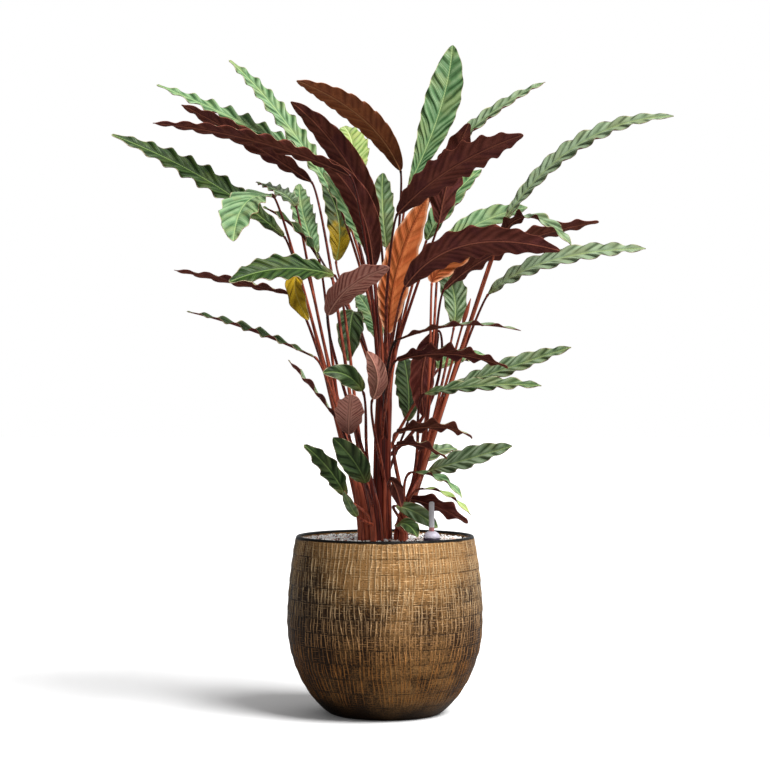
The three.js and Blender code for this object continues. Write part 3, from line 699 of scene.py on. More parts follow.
def pumice_granules():
    """Washed mineral granulate of pumice, zeolite and lava: matt, mostly chalk white and cream, with
    brick-red, grey and near-black grains among them, over a near-black bed that is painted shade between the
    grains."""
    material, shader, place = new_material("washed mineral granules")
    ramp = add(place.tree, "ShaderNodeValToRGB", inputs={0: attribute(place.tree, "tone")})
    ramp.color_ramp.interpolation = "CONSTANT"
    elements = ramp.color_ramp.elements
    elements.remove(elements[1])
    for position, code in GRAIN_COLOURS.items():
        element = elements.new(position) if position else elements[0]
        element.color = colour(code)
    dust = noise(place, 1.2, detail=4)
    shaded = put(place.tree, "ShaderNodeHueSaturation", inputs={
        "Value": dust * 0.3 + 0.87, "Color": Value(ramp.outputs[0])})
    connect(shader, {"Base Color": shaded, "Roughness": 0.9, "Normal": bumped(dust, 0.4, 0.8)})
    return material


def granule_tree(material):
    """Scatters faceted grains on the faces of the bed that look up."""
    tree, ports, given = new_group("Scattered granules", {
        "Base": "Geometry", "Spacing": "Float", "Smallest": "Float", "Largest": "Float", "Seed": "Int",
    }, "Granulate")
    corner = put(tree, "GeometryNodeInputPosition")
    level = parts(put(tree, "GeometryNodeInputNormal"))[2]
    high = maths("GREATER_THAN", parts(corner)[2], (SOIL_LEVEL - 12) * MM)
    points = put(tree, "GeometryNodeDistributePointsOnFaces", {"distribute_method": "POISSON"}, {
        "Mesh": given["Base"], "Selection": maths("GREATER_THAN", level, 0.5) * high,
        "Distance Min": given["Spacing"], "Density Max": GRAINS_PER_SQUARE_METRE, "Seed": given["Seed"]})
    ball = put(tree, "GeometryNodeMeshIcoSphere", inputs={"Radius": 0.5, "Subdivisions": 1})
    grain = put(tree, "GeometryNodeSetShadeSmooth", inputs={"Geometry": ball, "Shade Smooth": False})
    lump = put(tree, "ShaderNodeTexNoise", inputs={"Vector": corner, "Scale": 2.3})
    dented = put(tree, "ShaderNodeVectorMath", {"operation": "SCALE"}, {0: corner, "Scale": lump})
    stone = put(tree, "GeometryNodeSetPosition", inputs={"Geometry": grain, "Offset": dented})
    turn = put(tree, "FunctionNodeRandomValue", {"data_type": "FLOAT_VECTOR"},
               {0: (0, 0, 0), 1: (6.28, 6.28, 6.28), "Seed": given["Seed"]})
    size = put(tree, "FunctionNodeRandomValue", {"data_type": "FLOAT"},
               {2: given["Smallest"], 3: given["Largest"], "Seed": given["Seed"]}, out=1)
    tone = put(tree, "FunctionNodeRandomValue", {"data_type": "FLOAT"}, {2: 0.0, 3: 1.0, "Seed": 7}, out=1)
    toned = put(tree, "GeometryNodeStoreNamedAttribute", {"data_type": "FLOAT", "domain": "POINT"},
                {"Geometry": points, "Name": "tone", "Value": tone})
    scale = vector_of(size, *(size * share for share in GRAIN_FLATNESS))
    grains = put(tree, "GeometryNodeInstanceOnPoints", inputs={
        "Points": toned, "Instance": stone, "Rotation": turn, "Scale": scale})
    joined = add(tree, "GeometryNodeJoinGeometry")
    connect(joined, {0: grains})
    connect(joined, {0: given["Base"]})
    end_group(Value(joined.outputs[0]), material)
    return tree, ports


def build_granulate(settings):
    """The bed that fills the planter, with loose grains on top."""
    inset = WALL + SIDE_GAP
    bed = SOIL_LEVEL + BED_RISE
    profile = [(0, FLOOR + SEAT_GAP), (planter_radius(FLOOR) - inset - WALL, FLOOR + SEAT_GAP)]
    profile += [(planter_radius(h) - inset, h) for h in (30, 69, BELLY_HEIGHT, 167, 196)]
    edge = planter_radius(SOIL_LEVEL) - inset - 0.2
    profile += [(edge * share, bed) for share in (1, 0.8, 0.6, 0.4, 0.2)]
    profile.append((0, bed))
    points, faces = lathe(profile, 96)
    material = pumice_granules()
    # The bed takes the near-black colour: painted shade in the gaps between the grains
    base = new_piece("granulate_bed", points, faces, [material], attributes={"tone": np.ones(len(points))})
    tree, ports = granule_tree(material)
    return grown_from(base, tree, {
        ports["Spacing"]: settings.spacing, ports["Smallest"]: settings.smallest,
        ports["Largest"]: settings.largest, ports["Seed"]: settings.seed}, "granulate")


# Water gauge

# Radius and height along each part's outline
CAP_OUTLINE = [
    (0, 62), (6.2, 62), (7, 62.8), (7, 224), (9.6, 224), (10.3, 224.4), (10.5, 225.2), (10.5, 228.4),
    (10.1, 228.8), (10.1, 229.2), (10.4, 229.6), (10.2, 231.2), (9.6, 232.9), (8.4, 234.6), (6.6, 236),
    (5.4, 236.6), (4.6, 237), (0, 237),
]
TUBE_OUTLINE = [
    (0, 272.5), (1.8, 272.4), (2.6, 271.8), (2.9, 270.8), (2.9, 237.4), (3.4, 237.4), (3.4, 271.4),
    (3.1, 272.8), (2.2, 273.7), (1.2, 274), (0, 274),
]
FLOAT_OUTLINE = [(0, 237.4), (2.2, 237.4), (2.5, 237.7), (2.5, 242), (2.2, 242.3), (0, 242.3)]
BAND_TOP = 229
FLOAT_TOP = 242


def gauge_plastics(settings):
    """The gauge's plastics, all moulded smooth: a milky polypropylene cap over a plum band, a cloudy acrylic
    tube with the float's red painted on it where the float stands inside, as painted light seen through the
    wall, and an orange-red float."""
    cap, shader, place = new_material("milky moulded polypropylene cap")
    dome = blended(noise(place, 6, detail=3), settings.cap_lilac, colour("#f3eff7"))
    above = stepped(parts(place)[2], (BAND_TOP - 0.4) * MM, (BAND_TOP + 0.4) * MM)
    connect(shader, {
        "Base Color": blended(above, settings.band_plum, dome), "Roughness": 0.32,
        "Subsurface Weight": 0.15, "Subsurface Radius": (0.002, 0.002, 0.002)})

    tube, shader, place = new_material("clear extruded acrylic tube")
    drawn = noise(place, 3, stretch=(1, 1, 12))
    milky = blended(drawn, colour("#f4f0f7"), colour("#ffffff"))
    # Painted view of the red float through the tube's wall, where the float stands
    float_seen_through = stepped(parts(place)[2], (FLOAT_TOP + 1) * MM, (FLOAT_TOP - 1) * MM) * 0.75
    connect(shader, {
        "Base Color": blended(float_seen_through, milky, settings.float_red), "Roughness": 0.25, "IOR": 1.49,
        "Transmission Weight": 0.2})

    mark, shader, place = new_material("red moulded float")
    red = blended(noise(place, 1.5), colour("#b01c12"), settings.float_red)
    connect(shader, {"Base Color": red, "Roughness": 0.4})
    return cap, tube, mark


def build_gauge(settings):
    """The cap with its shaft, the tube and the float, each in the place of its node."""
    low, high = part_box("gauge_tube")
    place = np.array([(low.x + high.x) / 2, (low.y + high.y) / 2, 0]) / MM
    names = ("gauge_cap_and_shaft", "gauge_clear_tube", "gauge_red_float")
    pieces = []
    for name, outline, material in zip(names, (CAP_OUTLINE, TUBE_OUTLINE, FLOAT_OUTLINE),
                                       gauge_plastics(settings)):
        points, faces = lathe(outline, 48)
        pieces.append(new_piece(name, points + place, faces, [material], sharp=50))
    return pieces


# Leaf materials

VEINS_PER_WAVE = 10


def blade_marks(tree, folds):
    """What the blade's own map gives: distance from the midrib, along it and from the edge, all in
    millimetres, then fine veins, and from 0 to 1 the hollows and the crowns of that many folds in each
    edge wave. The folds fade at the midrib, and every second wave cuts deeper."""
    side, along, half = parts(attribute(tree, "blade_mm", "Vector"))
    across = abs(side)
    to_edge = half - across
    turns = attribute(tree, "turns")
    vein = maths("COSINE", turns * (2 * math.pi * VEINS_PER_WAVE))
    wave = maths("COSINE", turns * (2 * math.pi * folds))
    slow = maths("COSINE", turns * math.pi)
    body = stepped(across, 0.8, 4.5) * stepped(to_edge, -0.5, 2.0)
    hollow = stepped(wave, -0.35, -0.97) * ((slow * 0.25 + 0.75) * body)
    crown = stepped(wave, -0.1, 1.0) * body
    return across, along, to_edge, vein, hollow, crown


def velvet_upper(name, shade, body, light, rib, sunny, turning=None):
    """The upper face of a living leaf, waxy over corrugated tissue: paler on the crown of each fold, partly a
    waxy cover and partly painted sheen, painted shade of deep green in the narrow hollows between, olive
    patches that have stood in the sun, a fine yellow-green midrib, and a thin cream or brown margin."""
    material, shader, place = new_material(name)
    across, along, to_edge, vein, hollow, crown = blade_marks(place.tree, 2)
    blotch = noise(place, 16, detail=3)
    cells = noise(place, 1.6)
    # Paler on the crowns of the folds: partly waxy cover, partly painted sheen
    share = crown * 0.34 + attribute(place.tree, "tone") * 0.62
    share = share + (blotch - 0.5) * 0.75 + (cells - 0.5) * 0.25 + vein * 0.05
    green = blended(stepped(share, 0.0, 1.0), body, light)
    sunned = stepped(noise(place, 21, detail=3, stretch=(1.3, 0.8, 1.1)), 0.46, 0.66)
    green = blended(sunned * 0.42, green, sunny)
    # Painted shade: deep green in the narrow hollows of the folds
    green = blended(hollow * (0.95 - blotch * 0.5), green, shade)
    if turning:
        green = blended(stepped(along + (blotch - 0.5) * 90, 62, 34), green, turning)
    green = blended(stepped(along, 20, 3) * 0.6, green, colour("#6c6a34"))
    green = blended(stepped(across, 1.0, 0.35) * 0.7, green, rib)
    margin_colour = blended(stepped(noise(place, 7), 0.42, 0.52), *colours("#5a3524", "#cfc29c"))
    green = blended(stepped(to_edge, 1.1, 0.3) * 0.75, green, margin_colour)
    connect(shader, {
        "Base Color": green, "Roughness": 0.52 - crown * 0.12, "Specular IOR Level": 0.2,
        "Sheen Weight": 0.02, "Sheen Tint": colour("#dfeee6"),
        "Normal": bumped(vein * 0.12 + cells * 0.3 - hollow * 0.9, 0.7, 0.8)})
    return material


def velvet_under(name, shade, body, light, rib, folds=2, depth=0.5, cool=0.4, edge=None):
    """The under face of a living leaf, covered in short velvet hairs: matt, with plum-coloured patches as
    strong as cool says, with painted shade towards the foot, in the grooves between its folds and on each
    side of its low raised midrib, with painted highlights on the crowns of its folds and in streaks beside
    the midrib, paler along the midrib itself and at its very edge."""
    material, shader, place = new_material(name)
    across, along, to_edge, vein, hollow, crown = blade_marks(place.tree, folds)
    blotch = noise(place, 20, detail=3)
    grain = noise(attribute(place.tree, "blade_mm", "Vector"), 1.1 / MM, detail=3, stretch=(1, 26, 1))
    # Painted highlights: pale streaks beside the midrib, and paler crowns of the folds
    beside = stepped(across, 7, 2) * stepped(grain, 0.4, 0.6)
    share = blotch * 0.7 + attribute(place.tree, "tone") * 0.5
    share = share + (grain - 0.5) * 0.5 + crown * 0.2 + beside * 0.3
    red = blended(stepped(share, 0.2, 1.15), body, light)
    plum = stepped(noise(place, 27, detail=3), 0.45, 0.62) * cool
    red = blended(plum, red, colour("#5c2c36"))
    # Painted shade in the grooves between the folds and towards the foot
    red = blended(highest(hollow * depth, stepped(along, 70, 5) * 0.55), red, shade)
    # Where an edge colour is given it is painted light on a lit margin; else the margin takes the midrib's
    # colour
    reach, strength = (4.0, 0.8) if edge else (1.2, 0.5)
    red = blended(stepped(to_edge, reach, 0.3) * strength, red, edge or rib)
    red = blended(stepped(across, 1.2, 0.5) * 0.75, red, rib)
    # Painted shade in a thin line on each side of the raised midrib
    shade_beside_rib = stepped(across, 0.9, 1.3) * stepped(across, 2.2, 1.5)
    red = blended(shade_beside_rib * 0.45, red, shade)
    raised = noise(place, 0.8) * 0.3 - hollow * 0.9 + vein * 0.1
    connect(shader, {
        "Base Color": red, "Roughness": 0.68, "Specular IOR Level": 0.1, "Sheen Weight": 0.04,
        "Sheen Roughness": 0.4, "Sheen Tint": light, "Normal": bumped(raised, 0.7, 0.8)})
    return material


def leaf_materials(settings):
    """The materials of every kind of upper and under face."""
    deep = colours("#0a1804", "#283c1a", "#53693e")
    return {
        "green": velvet_upper("waxy green upper leaf", settings.hollow_shade_green, settings.green,
                              settings.bloom_and_sheen, *colours("#a3b873", "#8b8f5e")),
        "pale": velvet_upper("waxy pale upper leaf", colour("#163809"), settings.pale_green,
                             settings.pale_bloom_and_sheen, *colours("#b0c886", "#98a366")),
        "fresh": velvet_upper("fresh green upper leaf",
                              *colours("#0b2103", "#233b10", "#47642a", "#7f9c50", "#56642a")),
        "lime": velvet_upper("young lime upper leaf",
                             *colours("#58782c", "#86a352", "#b9c885", "#d9e4a4", "#b0b060")),
        "deep": velvet_upper("shaded deep green upper leaf", *deep, *colours("#7f9a55", "#4e5430")),
        "yellow": velvet_upper("yellowing old leaf",
                               *colours("#8a6d10", "#b38f12", "#d6b32c", "#dcc35c", "#b07a1c")),
        "turning": velvet_upper("deep green leaf turning yellow at its foot", *deep,
                                *colours("#8fa860", "#5a5c30", "#a98c14")),
        "maroon": velvet_under("maroon velvet leaf underside", colour("#200b07"), settings.maroon,
                               settings.maroon_sheen, colour("#a25e4a"), depth=0.35),
        "russet": velvet_under("russet velvet leaf underside",
                               *colours("#3e170d", "#8c4a30", "#b76c47", "#c08058"), depth=0.3, cool=0.2),
        # The copper face's pale edge colour is painted light: a margin lit from the side
        "copper": velvet_under("copper velvet leaf underside",
                               *colours("#6a270d", "#9c471e", "#c4703f", "#783014"), folds=1, depth=0.25,
                               cool=0.0, edge=colour("#e2a680")),
        "mauve": velvet_under("mauve velvet leaf underside",
                              *colours("#40160f", "#a8584b", "#dd9c8b", "#d09480"), folds=4, depth=0.75,
                              cool=0.0),
    }


# Leaf blades

def half_width(along, row):
    """Half the blade's width from 0 at the foot to 1 at the tip, as in the part."""
    stretch = math.log(0.5) / math.log(row["widest"])
    swell = np.clip(np.sin(math.pi * along ** stretch), 0, 1) ** BLUNTING
    end = BLADE_FOOT + (BLADE_TIP - BLADE_FOOT) * along
    return (end + (row["width"] - end) * swell) / 2


COLUMNS = np.array((0, 0.05, 0.13, 0.27, 0.43, 0.59, 0.74, 0.88, 1.0))
REACHES = np.concatenate([-COLUMNS[:0:-1], COLUMNS])


def build_blade(name, row, seed, looks, tone, settings):
    """One closed ruffled blade. Its edge waves crest where the part's do. Its mesh rows slant forward
    from the midrib to the edge with the folds, so a row keeps to one place of a fold."""
    chance = np.random.default_rng(seed)
    controls = [row["foot"], row["bend"], row["tip"]]
    _, length = even_shares(controls, [0])
    waves = max(2, math.floor(length / WAVE_PITCH + 0.5))
    at_edge = np.linspace(0, 1, waves * settings.samples_per_wave + 1)[:, None]
    reach = np.abs(REACHES)[None, :]
    hand = np.sign(REACHES)[None, :]
    lag = settings.vein_slant * row["width"] / 2 * np.sin(math.pi * at_edge) * (1 - reach) / length
    along = np.clip(at_edge - lag, 0, 1)

    rows, columns = along.shape
    shares, length = even_shares(controls, along.ravel())
    middle, forward = on_curve(controls, shares)
    up = row["face"] - (forward @ row["face"])[:, None] * forward
    up /= np.linalg.norm(up, axis=1, keepdims=True)
    side = np.cross(forward, up)
    grown = np.sqrt(np.clip(np.sin(math.pi * along), 0, 1))
    uneven = 1 + 0.22 * np.sin(2 * math.pi * (1.3 * along + chance.random()))
    crest = np.cos(2 * math.pi * waves * along)
    half = half_width(along, row) * (1 - WAVE_SCALLOP * (1 - crest) * 0.5 * grown)

    turns = np.repeat(waves * at_edge, columns, axis=1)
    phase = 2 * math.pi * turns
    ruffled = (np.cos(phase) + 0.18 * np.cos(2 * phase)) * row["ruffle"] * grown * uneven
    ruffled = ruffled * hand * reach ** 1.6
    swell = (1 + np.cos(2 * phase)) / 2
    pillow = (1 - (1 - swell) ** 2.4) * (0.85 + 0.15 * np.cos(phase + 1.3 * hand))
    body = smooth(0.02, 0.25, reach) * smooth(1.12, 0.75, reach)
    folded_up = settings.fold_height / MM * pillow * body * np.minimum(1, half / 12)
    across = REACHES[None, :] * half
    lift = BLADE_FOLD * half * reach + ruffled + folded_up
    thinning = 1 - 0.6 * along
    groove = 0.3 * np.exp(-(across / 0.9) ** 2) * thinning
    rib = 0.8 * thinning * np.exp(-(across / (1.2 * thinning)) ** 2)
    thickness = settings.thickness / MM + rib * (1 - smooth(0.96, 1, along))

    flat = middle + side * across.reshape(-1, 1)
    top = flat + up * (lift - groove).reshape(-1, 1)
    bottom = top - up * thickness.reshape(-1, 1)
    points = np.vstack([top, bottom])

    under = rows * columns
    grid = np.arange(under).reshape(rows, columns)
    a, b, c, d = grid[:-1, :-1], grid[:-1, 1:], grid[1:, 1:], grid[1:, :-1]
    upper_faces = np.stack([a, b, c, d], axis=2).reshape(-1, 4)
    under_faces = np.stack([a, d, c, b], axis=2).reshape(-1, 4) + under
    left, right, foot, tip = grid[:, 0], grid[:, -1], grid[0], grid[-1]
    rims = [
        np.stack([left[:-1], left[1:], left[1:] + under, left[:-1] + under], axis=1),
        np.stack([right[:-1], right[:-1] + under, right[1:] + under, right[1:]], axis=1),
        np.stack([foot[:-1], foot[:-1] + under, foot[1:] + under, foot[1:]], axis=1),
        np.stack([tip[:-1], tip[1:], tip[1:] + under, tip[:-1] + under], axis=1),
    ]
    faces = np.vstack([upper_faces, under_faces, *rims])
    indices = np.ones(len(faces), int)
    indices[:len(upper_faces)] = 0

    blade_mm = np.stack([across, along * length, half], axis=2).reshape(-1, 3)
    marks = {"blade_mm": np.vstack([blade_mm, blade_mm]), "turns": np.tile(turns.ravel(), 2),
             "tone": np.full(2 * under, tone)}
    return new_piece(name, points, faces.tolist(), looks, indices, marks, sharp=55)


def build_leaves(settings):
    """Every blade, with the two faces and the paleness of its own row."""
    looks = leaf_materials(settings)
    seed = 0
    for shoot, rows in LEAVES.items():
        for row in rows:
            seed += 1
            above, below = OWN_FACES.get(row["name"], FACES[row["hue"]])
            node = f"shoot_{shoot}" if row["young"] else f"leaf_{row['name']}"
            tone = TONES.get(row["name"], 0.5)
            both = [looks[above], looks[below]]
            piece = build_blade(f"blade_{row['name']}", row, seed, both, tone, settings)
            settle(piece, "leaf_" + row["hue"], node)


# Stalks

def living_stalk(settings):
    """Fleshy living stalk, smooth and a little waxy: nearly black, wine-red or salmon from stalk to stalk,
    partly painted light given by each shoot's tone, streaked along its length, and darker again in the thin
    petioles near the blades."""
    material, shader, place = new_material("fleshy wine-red stalk")
    streak = noise(place, 1.9, detail=3, stretch=(1, 1, 30))
    # The tone joins each stalk's own random colour to its shoot's painted light
    share = streak * 1.1 + attribute(place.tree, "tone") * 0.9 + noise(place, 30, detail=3) * 0.35
    share = share - stepped(attribute(place.tree, "rise"), 0.5, 1.0) * 0.25
    red = blended(stepped(share, 0.45, 0.95), settings.dark_red, settings.wine_red)
    red = blended(stepped(share, 0.95, 1.45), red, settings.salmon)
    connect(shader, {
        "Base Color": red, "Roughness": 0.34, "Specular IOR Level": 0.25, "Sheen Weight": 0.02,
        "Sheen Tint": colour("#e8a898"), "Normal": bumped(streak, 0.4, 0.7)})
    return material


def stalk_tree(material):
    """Turns chains of points into round tubes of each point's own radius."""
    tree, ports, given = new_group("Stalks along paths", {"Paths": "Geometry", "Sides": "Int"}, "Stalks")
    path = put(tree, "GeometryNodeMeshToCurve", inputs={0: given["Paths"]})
    radius = put(tree, "GeometryNodeInputNamedAttribute", {"data_type": "FLOAT"}, {"Name": "thickness"})
    ring = put(tree, "GeometryNodeCurvePrimitiveCircle", inputs={"Resolution": given["Sides"], "Radius": 1.0})
    swept = put(tree, "GeometryNodeCurveToMesh", inputs={
        "Curve": path, "Profile Curve": ring, "Scale": radius, "Fill Caps": True})
    end_group(put(tree, "GeometryNodeSetShadeSmooth", inputs={"Geometry": swept}), material)
    return tree, ports


def sheath_controls(shoot):
    """The curve of a shoot from the soil to its top."""
    x, y = shoot["foot"]
    top = shoot["top"]
    bend = SOIL_LEVEL + UPRIGHT_SHARE * (top[2] - SOIL_LEVEL)
    return [(x, y, SOIL_LEVEL + GRANULE_RELIEF), (x, y, bend), top]


def petiole_controls(shoot, row):
    """The petiole's curve from the sheath to the blade, and the share of the sheath where it leaves."""
    foot = row["foot"]
    release = min(HIGHEST_RELEASE, RELEASE_SHARE * (foot[2] - SOIL_LEVEL) / (shoot["top"][2] - SOIL_LEVEL))
    start, tangent = (part[0] for part in on_curve(sheath_controls(shoot), [release]))
    rise = np.linalg.norm(foot - start)
    into = row["bend"] - foot
    into = into / np.linalg.norm(into)
    risen = start + RISE_SHARE * rise * tangent + np.array([*row["sway"], 0])
    hook = foot - into * min(PETIOLE_HOOK, HOOK_SHARE * rise)
    return [start, risen, hook, foot], release


def stalk_path(shoot, row, turn, chance):
    """One leaf stalk from the soil to its blade: a clasping strip up the shoot's side, then a thin
    petiole with a swollen joint at its top."""
    controls, release = petiole_controls(shoot, row)
    outward = np.array([math.cos(turn), math.sin(turn), 0])
    climb = np.linspace(0, release, 16)
    spine, _ = on_curve(sheath_controls(shoot), climb)
    girth = shoot["foot_radius"] + (shoot["top_radius"] - shoot["foot_radius"]) * climb
    narrowing = smooth(0.1, 1, climb / release)
    thick_low = girth * 0.37 * (1 - narrowing) + PETIOLE_FOOT * 1.05 * narrowing
    lower = spine + outward * (girth - thick_low)[:, None]
    buried = lower[:1] - np.array([[0, 0, ROOT_DEPTH - 1]])

    shares = 1 - (1 - np.linspace(0, 1, 33)[1:]) ** 1.3
    upper, _ = on_curve(controls, shares)
    leave = (girth[-1] - thick_low[-1]) * (1 - smooth(0, 0.5, shares))
    upper = upper + outward * leave[:, None]
    thick_high = 0.92 * (PETIOLE_FOOT + (PETIOLE_TOP - PETIOLE_FOOT) * shares ** 0.8)
    length = np.linalg.norm(np.diff(upper, axis=0), axis=1).sum()
    from_top = (1 - shares) * length
    swollen = 0.55 * np.exp(-((from_top - 9) / 5) ** 2)
    thick_high = thick_high + swollen
    points = np.vstack([buried, lower, upper])
    radii = np.concatenate([thick_low[:1], thick_low, thick_high])
    rise = np.concatenate([[0], climb * 0.3, 0.3 + 0.7 * shares])
    return points, radii, rise, chance.random()


def core_path(shoot):
    """The innermost sheath, which fills the middle of the strips and closes to a blunt end."""
    climb = np.linspace(0, 1, 20)
    spine, _ = on_curve(sheath_controls(shoot), climb)
    girth = shoot["foot_radius"] + (shoot["top_radius"] - shoot["foot_radius"]) * climb
    radii = girth * 0.84 * np.sqrt(np.clip(1 - climb ** 10, 0.02, 1))
    buried = spine[:1] - np.array([[0, 0, ROOT_DEPTH - 1]])
    points = np.vstack([buried, spine])
    # The core's low tone makes it darker: painted shade in the middle of the shoot
    return points, np.concatenate([radii[:1], radii]), np.concatenate([[0], climb * 0.3]), 0.1


def sprout_path(shoot, chance):
    """The stalk of the rolled young leaf, ending in the tight spindle of the leaf itself."""
    row = {"foot": SPROUT_FOOT, "bend": SPROUT_TIP, "sway": (0, 0)}
    points, radii, rise, _ = stalk_path(shoot, row, 0.4, chance)
    shares = np.linspace(0, 1, 12)[1:]
    spindle = SPROUT_FOOT + (SPROUT_TIP - SPROUT_FOOT) * shares[:, None]
    thick = PETIOLE_TOP + (SPROUT_RADIUS - PETIOLE_TOP) * np.sin(math.pi * shares ** 0.7) - 0.9 * shares
    points = np.vstack([points, spindle])
    return points, np.concatenate([radii, thick]), np.concatenate([rise, np.full(len(shares), 0.6)]), 0.7


def build_stalks(settings):
    """The stalks of each shoot as one piece."""
    material = living_stalk(settings)
    tree, ports = stalk_tree(material)
    for number, (name, shoot) in enumerate(SHOOTS.items()):
        chance = np.random.default_rng(40 + number)
        rows = sorted(LEAVES[name], key=lambda r: math.atan2(r["foot"][1] - shoot["top"][1],
                                                             r["foot"][0] - shoot["top"][0]))
        paths = [core_path(shoot)]
        for place, row in enumerate(rows):
            turn = -math.pi + 2 * math.pi * (place + 0.5) / len(rows)
            paths.append(stalk_path(shoot, row, turn, chance))
        if name == "right":
            paths.append(sprout_path(shoot, chance))
        points, edges, thickness, rise, tone = [], [], [], [], []
        for chain, radii, climb, shade in paths:
            start = len(points)
            points.extend(chain)
            edges.extend((start + i, start + i + 1) for i in range(len(chain) - 1))
            thickness.extend(radii * MM)
            rise.extend(climb)
            tone.extend([STALK_TONES[name] + 0.6 * (shade - 0.5)] * len(chain))
        mesh = bpy.data.meshes.new("stalk paths")
        mesh.from_pydata((np.array(points) * MM).tolist(), edges, [])
        for key, values in (("thickness", thickness), ("rise", rise), ("tone", tone)):
            give_attribute(mesh, key, values)
        carrier = placed("stalk paths", mesh)
        piece = grown_from(carrier, tree, {ports["Sides"]: settings.sides}, f"stalks_{name}")
        settle(piece, "stem", f"shoot_{name}")


# Stage

FLOOR_REACH = 14
LIT_SIDE = (0.66, -0.4, 0.64)
BEHIND = (0.35, 0.93, 0.1)


def build_stage(settings):
    """The camera, a pale floor, one large soft lamp high on the right, and a bright backdrop behind that
    gives the leaves their pale edges."""
    camera = bpy.data.cameras.new("photo camera")
    camera.sensor_width = 36
    camera.lens = settings.lens
    camera.clip_end = 60
    holder = placed("photo camera", camera)
    holder.location = (0, -settings.distance, settings.eye_height)
    holder.rotation_euler = (math.pi / 2, 0, 0)
    bpy.context.scene.camera = holder

    # The floor looks nearly white, but throws less light back up than it shows
    material, shader, place = new_material("matt white studio floor")
    tree = place.tree
    cloudy = noise(place, 300)
    connect(shader, {
        "Base Color": blended(cloudy, *colours("#f5f5f5", "#f9f9f9")), "Roughness": 0.9,
        "Specular IOR Level": 0.1, "Emission Color": (1, 1, 1, 1), "Emission Strength": settings.floor_glow})
    dim = put(tree, "ShaderNodeBsdfDiffuse", inputs={
        "Color": blended(cloudy, *colours("#868686", "#8e8e8e"))})
    seen = put(tree, "ShaderNodeLightPath", out="Is Camera Ray")
    mixed = put(tree, "ShaderNodeMixShader", inputs={0: seen, 1: dim, 2: Value(shader.outputs[0])})
    connect(tree.nodes["Material Output"], {"Surface": mixed})
    corners = [(x * FLOOR_REACH, y * FLOOR_REACH, 0) for x, y in ((-1, -1), (1, -1), (1, 1), (-1, 1))]
    mesh = bpy.data.meshes.new("studio_floor")
    mesh.from_pydata(corners, [], [(0, 1, 2, 3)])
    mesh.materials.append(material)
    floor = placed("studio_floor", mesh)

    lamp = bpy.data.lights.new("key lamp", "SUN")
    lamp.energy = settings.key_strength
    lamp.angle = settings.key_softness
    light = placed("key lamp", lamp)
    across, rise = settings.key_side, settings.key_rise
    level = math.cos(rise)
    toward_key = Vector((math.sin(across) * level, -math.cos(across) * level, math.sin(rise)))
    light.location = toward_key * 3
    light.rotation_euler = toward_key.to_track_quat("Z", "Y").to_euler()

    world = bpy.data.worlds.new("soft studio")
    world.use_nodes = True
    tree = world.node_tree
    tree.nodes.clear()
    way = put(tree, "ShaderNodeTexCoord", out="Generated")
    dot = {"operation": "DOT_PRODUCT"}
    facing = put(tree, "ShaderNodeVectorMath", dot, {0: way, 1: LIT_SIDE}, out="Value")
    behind = put(tree, "ShaderNodeVectorMath", dot, {0: way, 1: BEHIND}, out="Value")
    surround = put(tree, "ShaderNodeMapRange", inputs={
        0: facing, 1: -0.6, 2: 1.0, 3: settings.shade_level, 4: settings.light_level})
    bright = surround + stepped(behind, 0.3, 0.9) * settings.backdrop_level
    seen = put(tree, "ShaderNodeLightPath", out="Is Camera Ray")
    soft = put(tree, "ShaderNodeBackground", inputs={"Color": (1, 1, 1, 1), "Strength": bright})
    white = put(tree, "ShaderNodeBackground", inputs={"Color": (1, 1, 1, 1), "Strength": 1.0})
    mixed = put(tree, "ShaderNodeMixShader", inputs={0: seen, 1: soft, 2: white})
    add(tree, "ShaderNodeOutputWorld", inputs={0: mixed})
    bpy.context.scene.world = world
    bpy.context.scene.view_settings.view_transform = "Standard"


# Settings

def tint(name, description, code):
    """A colour setting whose default is given as sRGB hex."""
    return bpy.props.FloatVectorProperty(name=name, description=description, subtype="COLOR", size=4,
                                         min=0, max=1, default=colour(code))


def span(name, description, millimetres):
    """A length setting whose default is given in millimetres."""
    return bpy.props.FloatProperty(name=name, description=description, default=millimetres * MM,
                                   unit="LENGTH", precision=5)


def angle(name, description, degrees):
    """An angle setting whose default is given in degrees."""
    return bpy.props.FloatProperty(name=name, description=description, default=math.radians(degrees),
                                   subtype="ANGLE")


def number(name, description, default):
    return bpy.props.FloatProperty(name=name, description=description, default=default)


def count(name, description, default, least, most):
    return bpy.props.IntProperty(name=name, description=description, default=default, min=least, max=most)


class StageSettings(bpy.types.PropertyGroup):
    lens: number("Lens", "Focal length of the studio camera in millimetres", 98.6)
    distance: span("Distance", "From the planter's axis to the camera", 2700)
    eye_height: span("Eye Height", "Height of the camera", 419)
    key_strength: number("Key Strength", "Strength of the large soft lamp on the right", 4.9)
    key_softness: angle("Key Softness", "How wide the soft lamp looks from the plant", 32)
    key_side: angle("Key Side", "How far the lamp stands to the right of the camera", 54)
    key_rise: angle("Key Rise", "How high the lamp stands above the floor", 50)
    floor_glow: number("Floor Glow", "Light added to the floor where the camera sees it", 0.03)
    light_level: number("Light Level", "Brightness of the surround on the lit side", 0.46)
    shade_level: number("Shade Level", "Brightness of the surround on the shaded side", 0.05)
    backdrop_level: number("Backdrop Level", "Brightness of the backdrop behind the plant", 0.5)


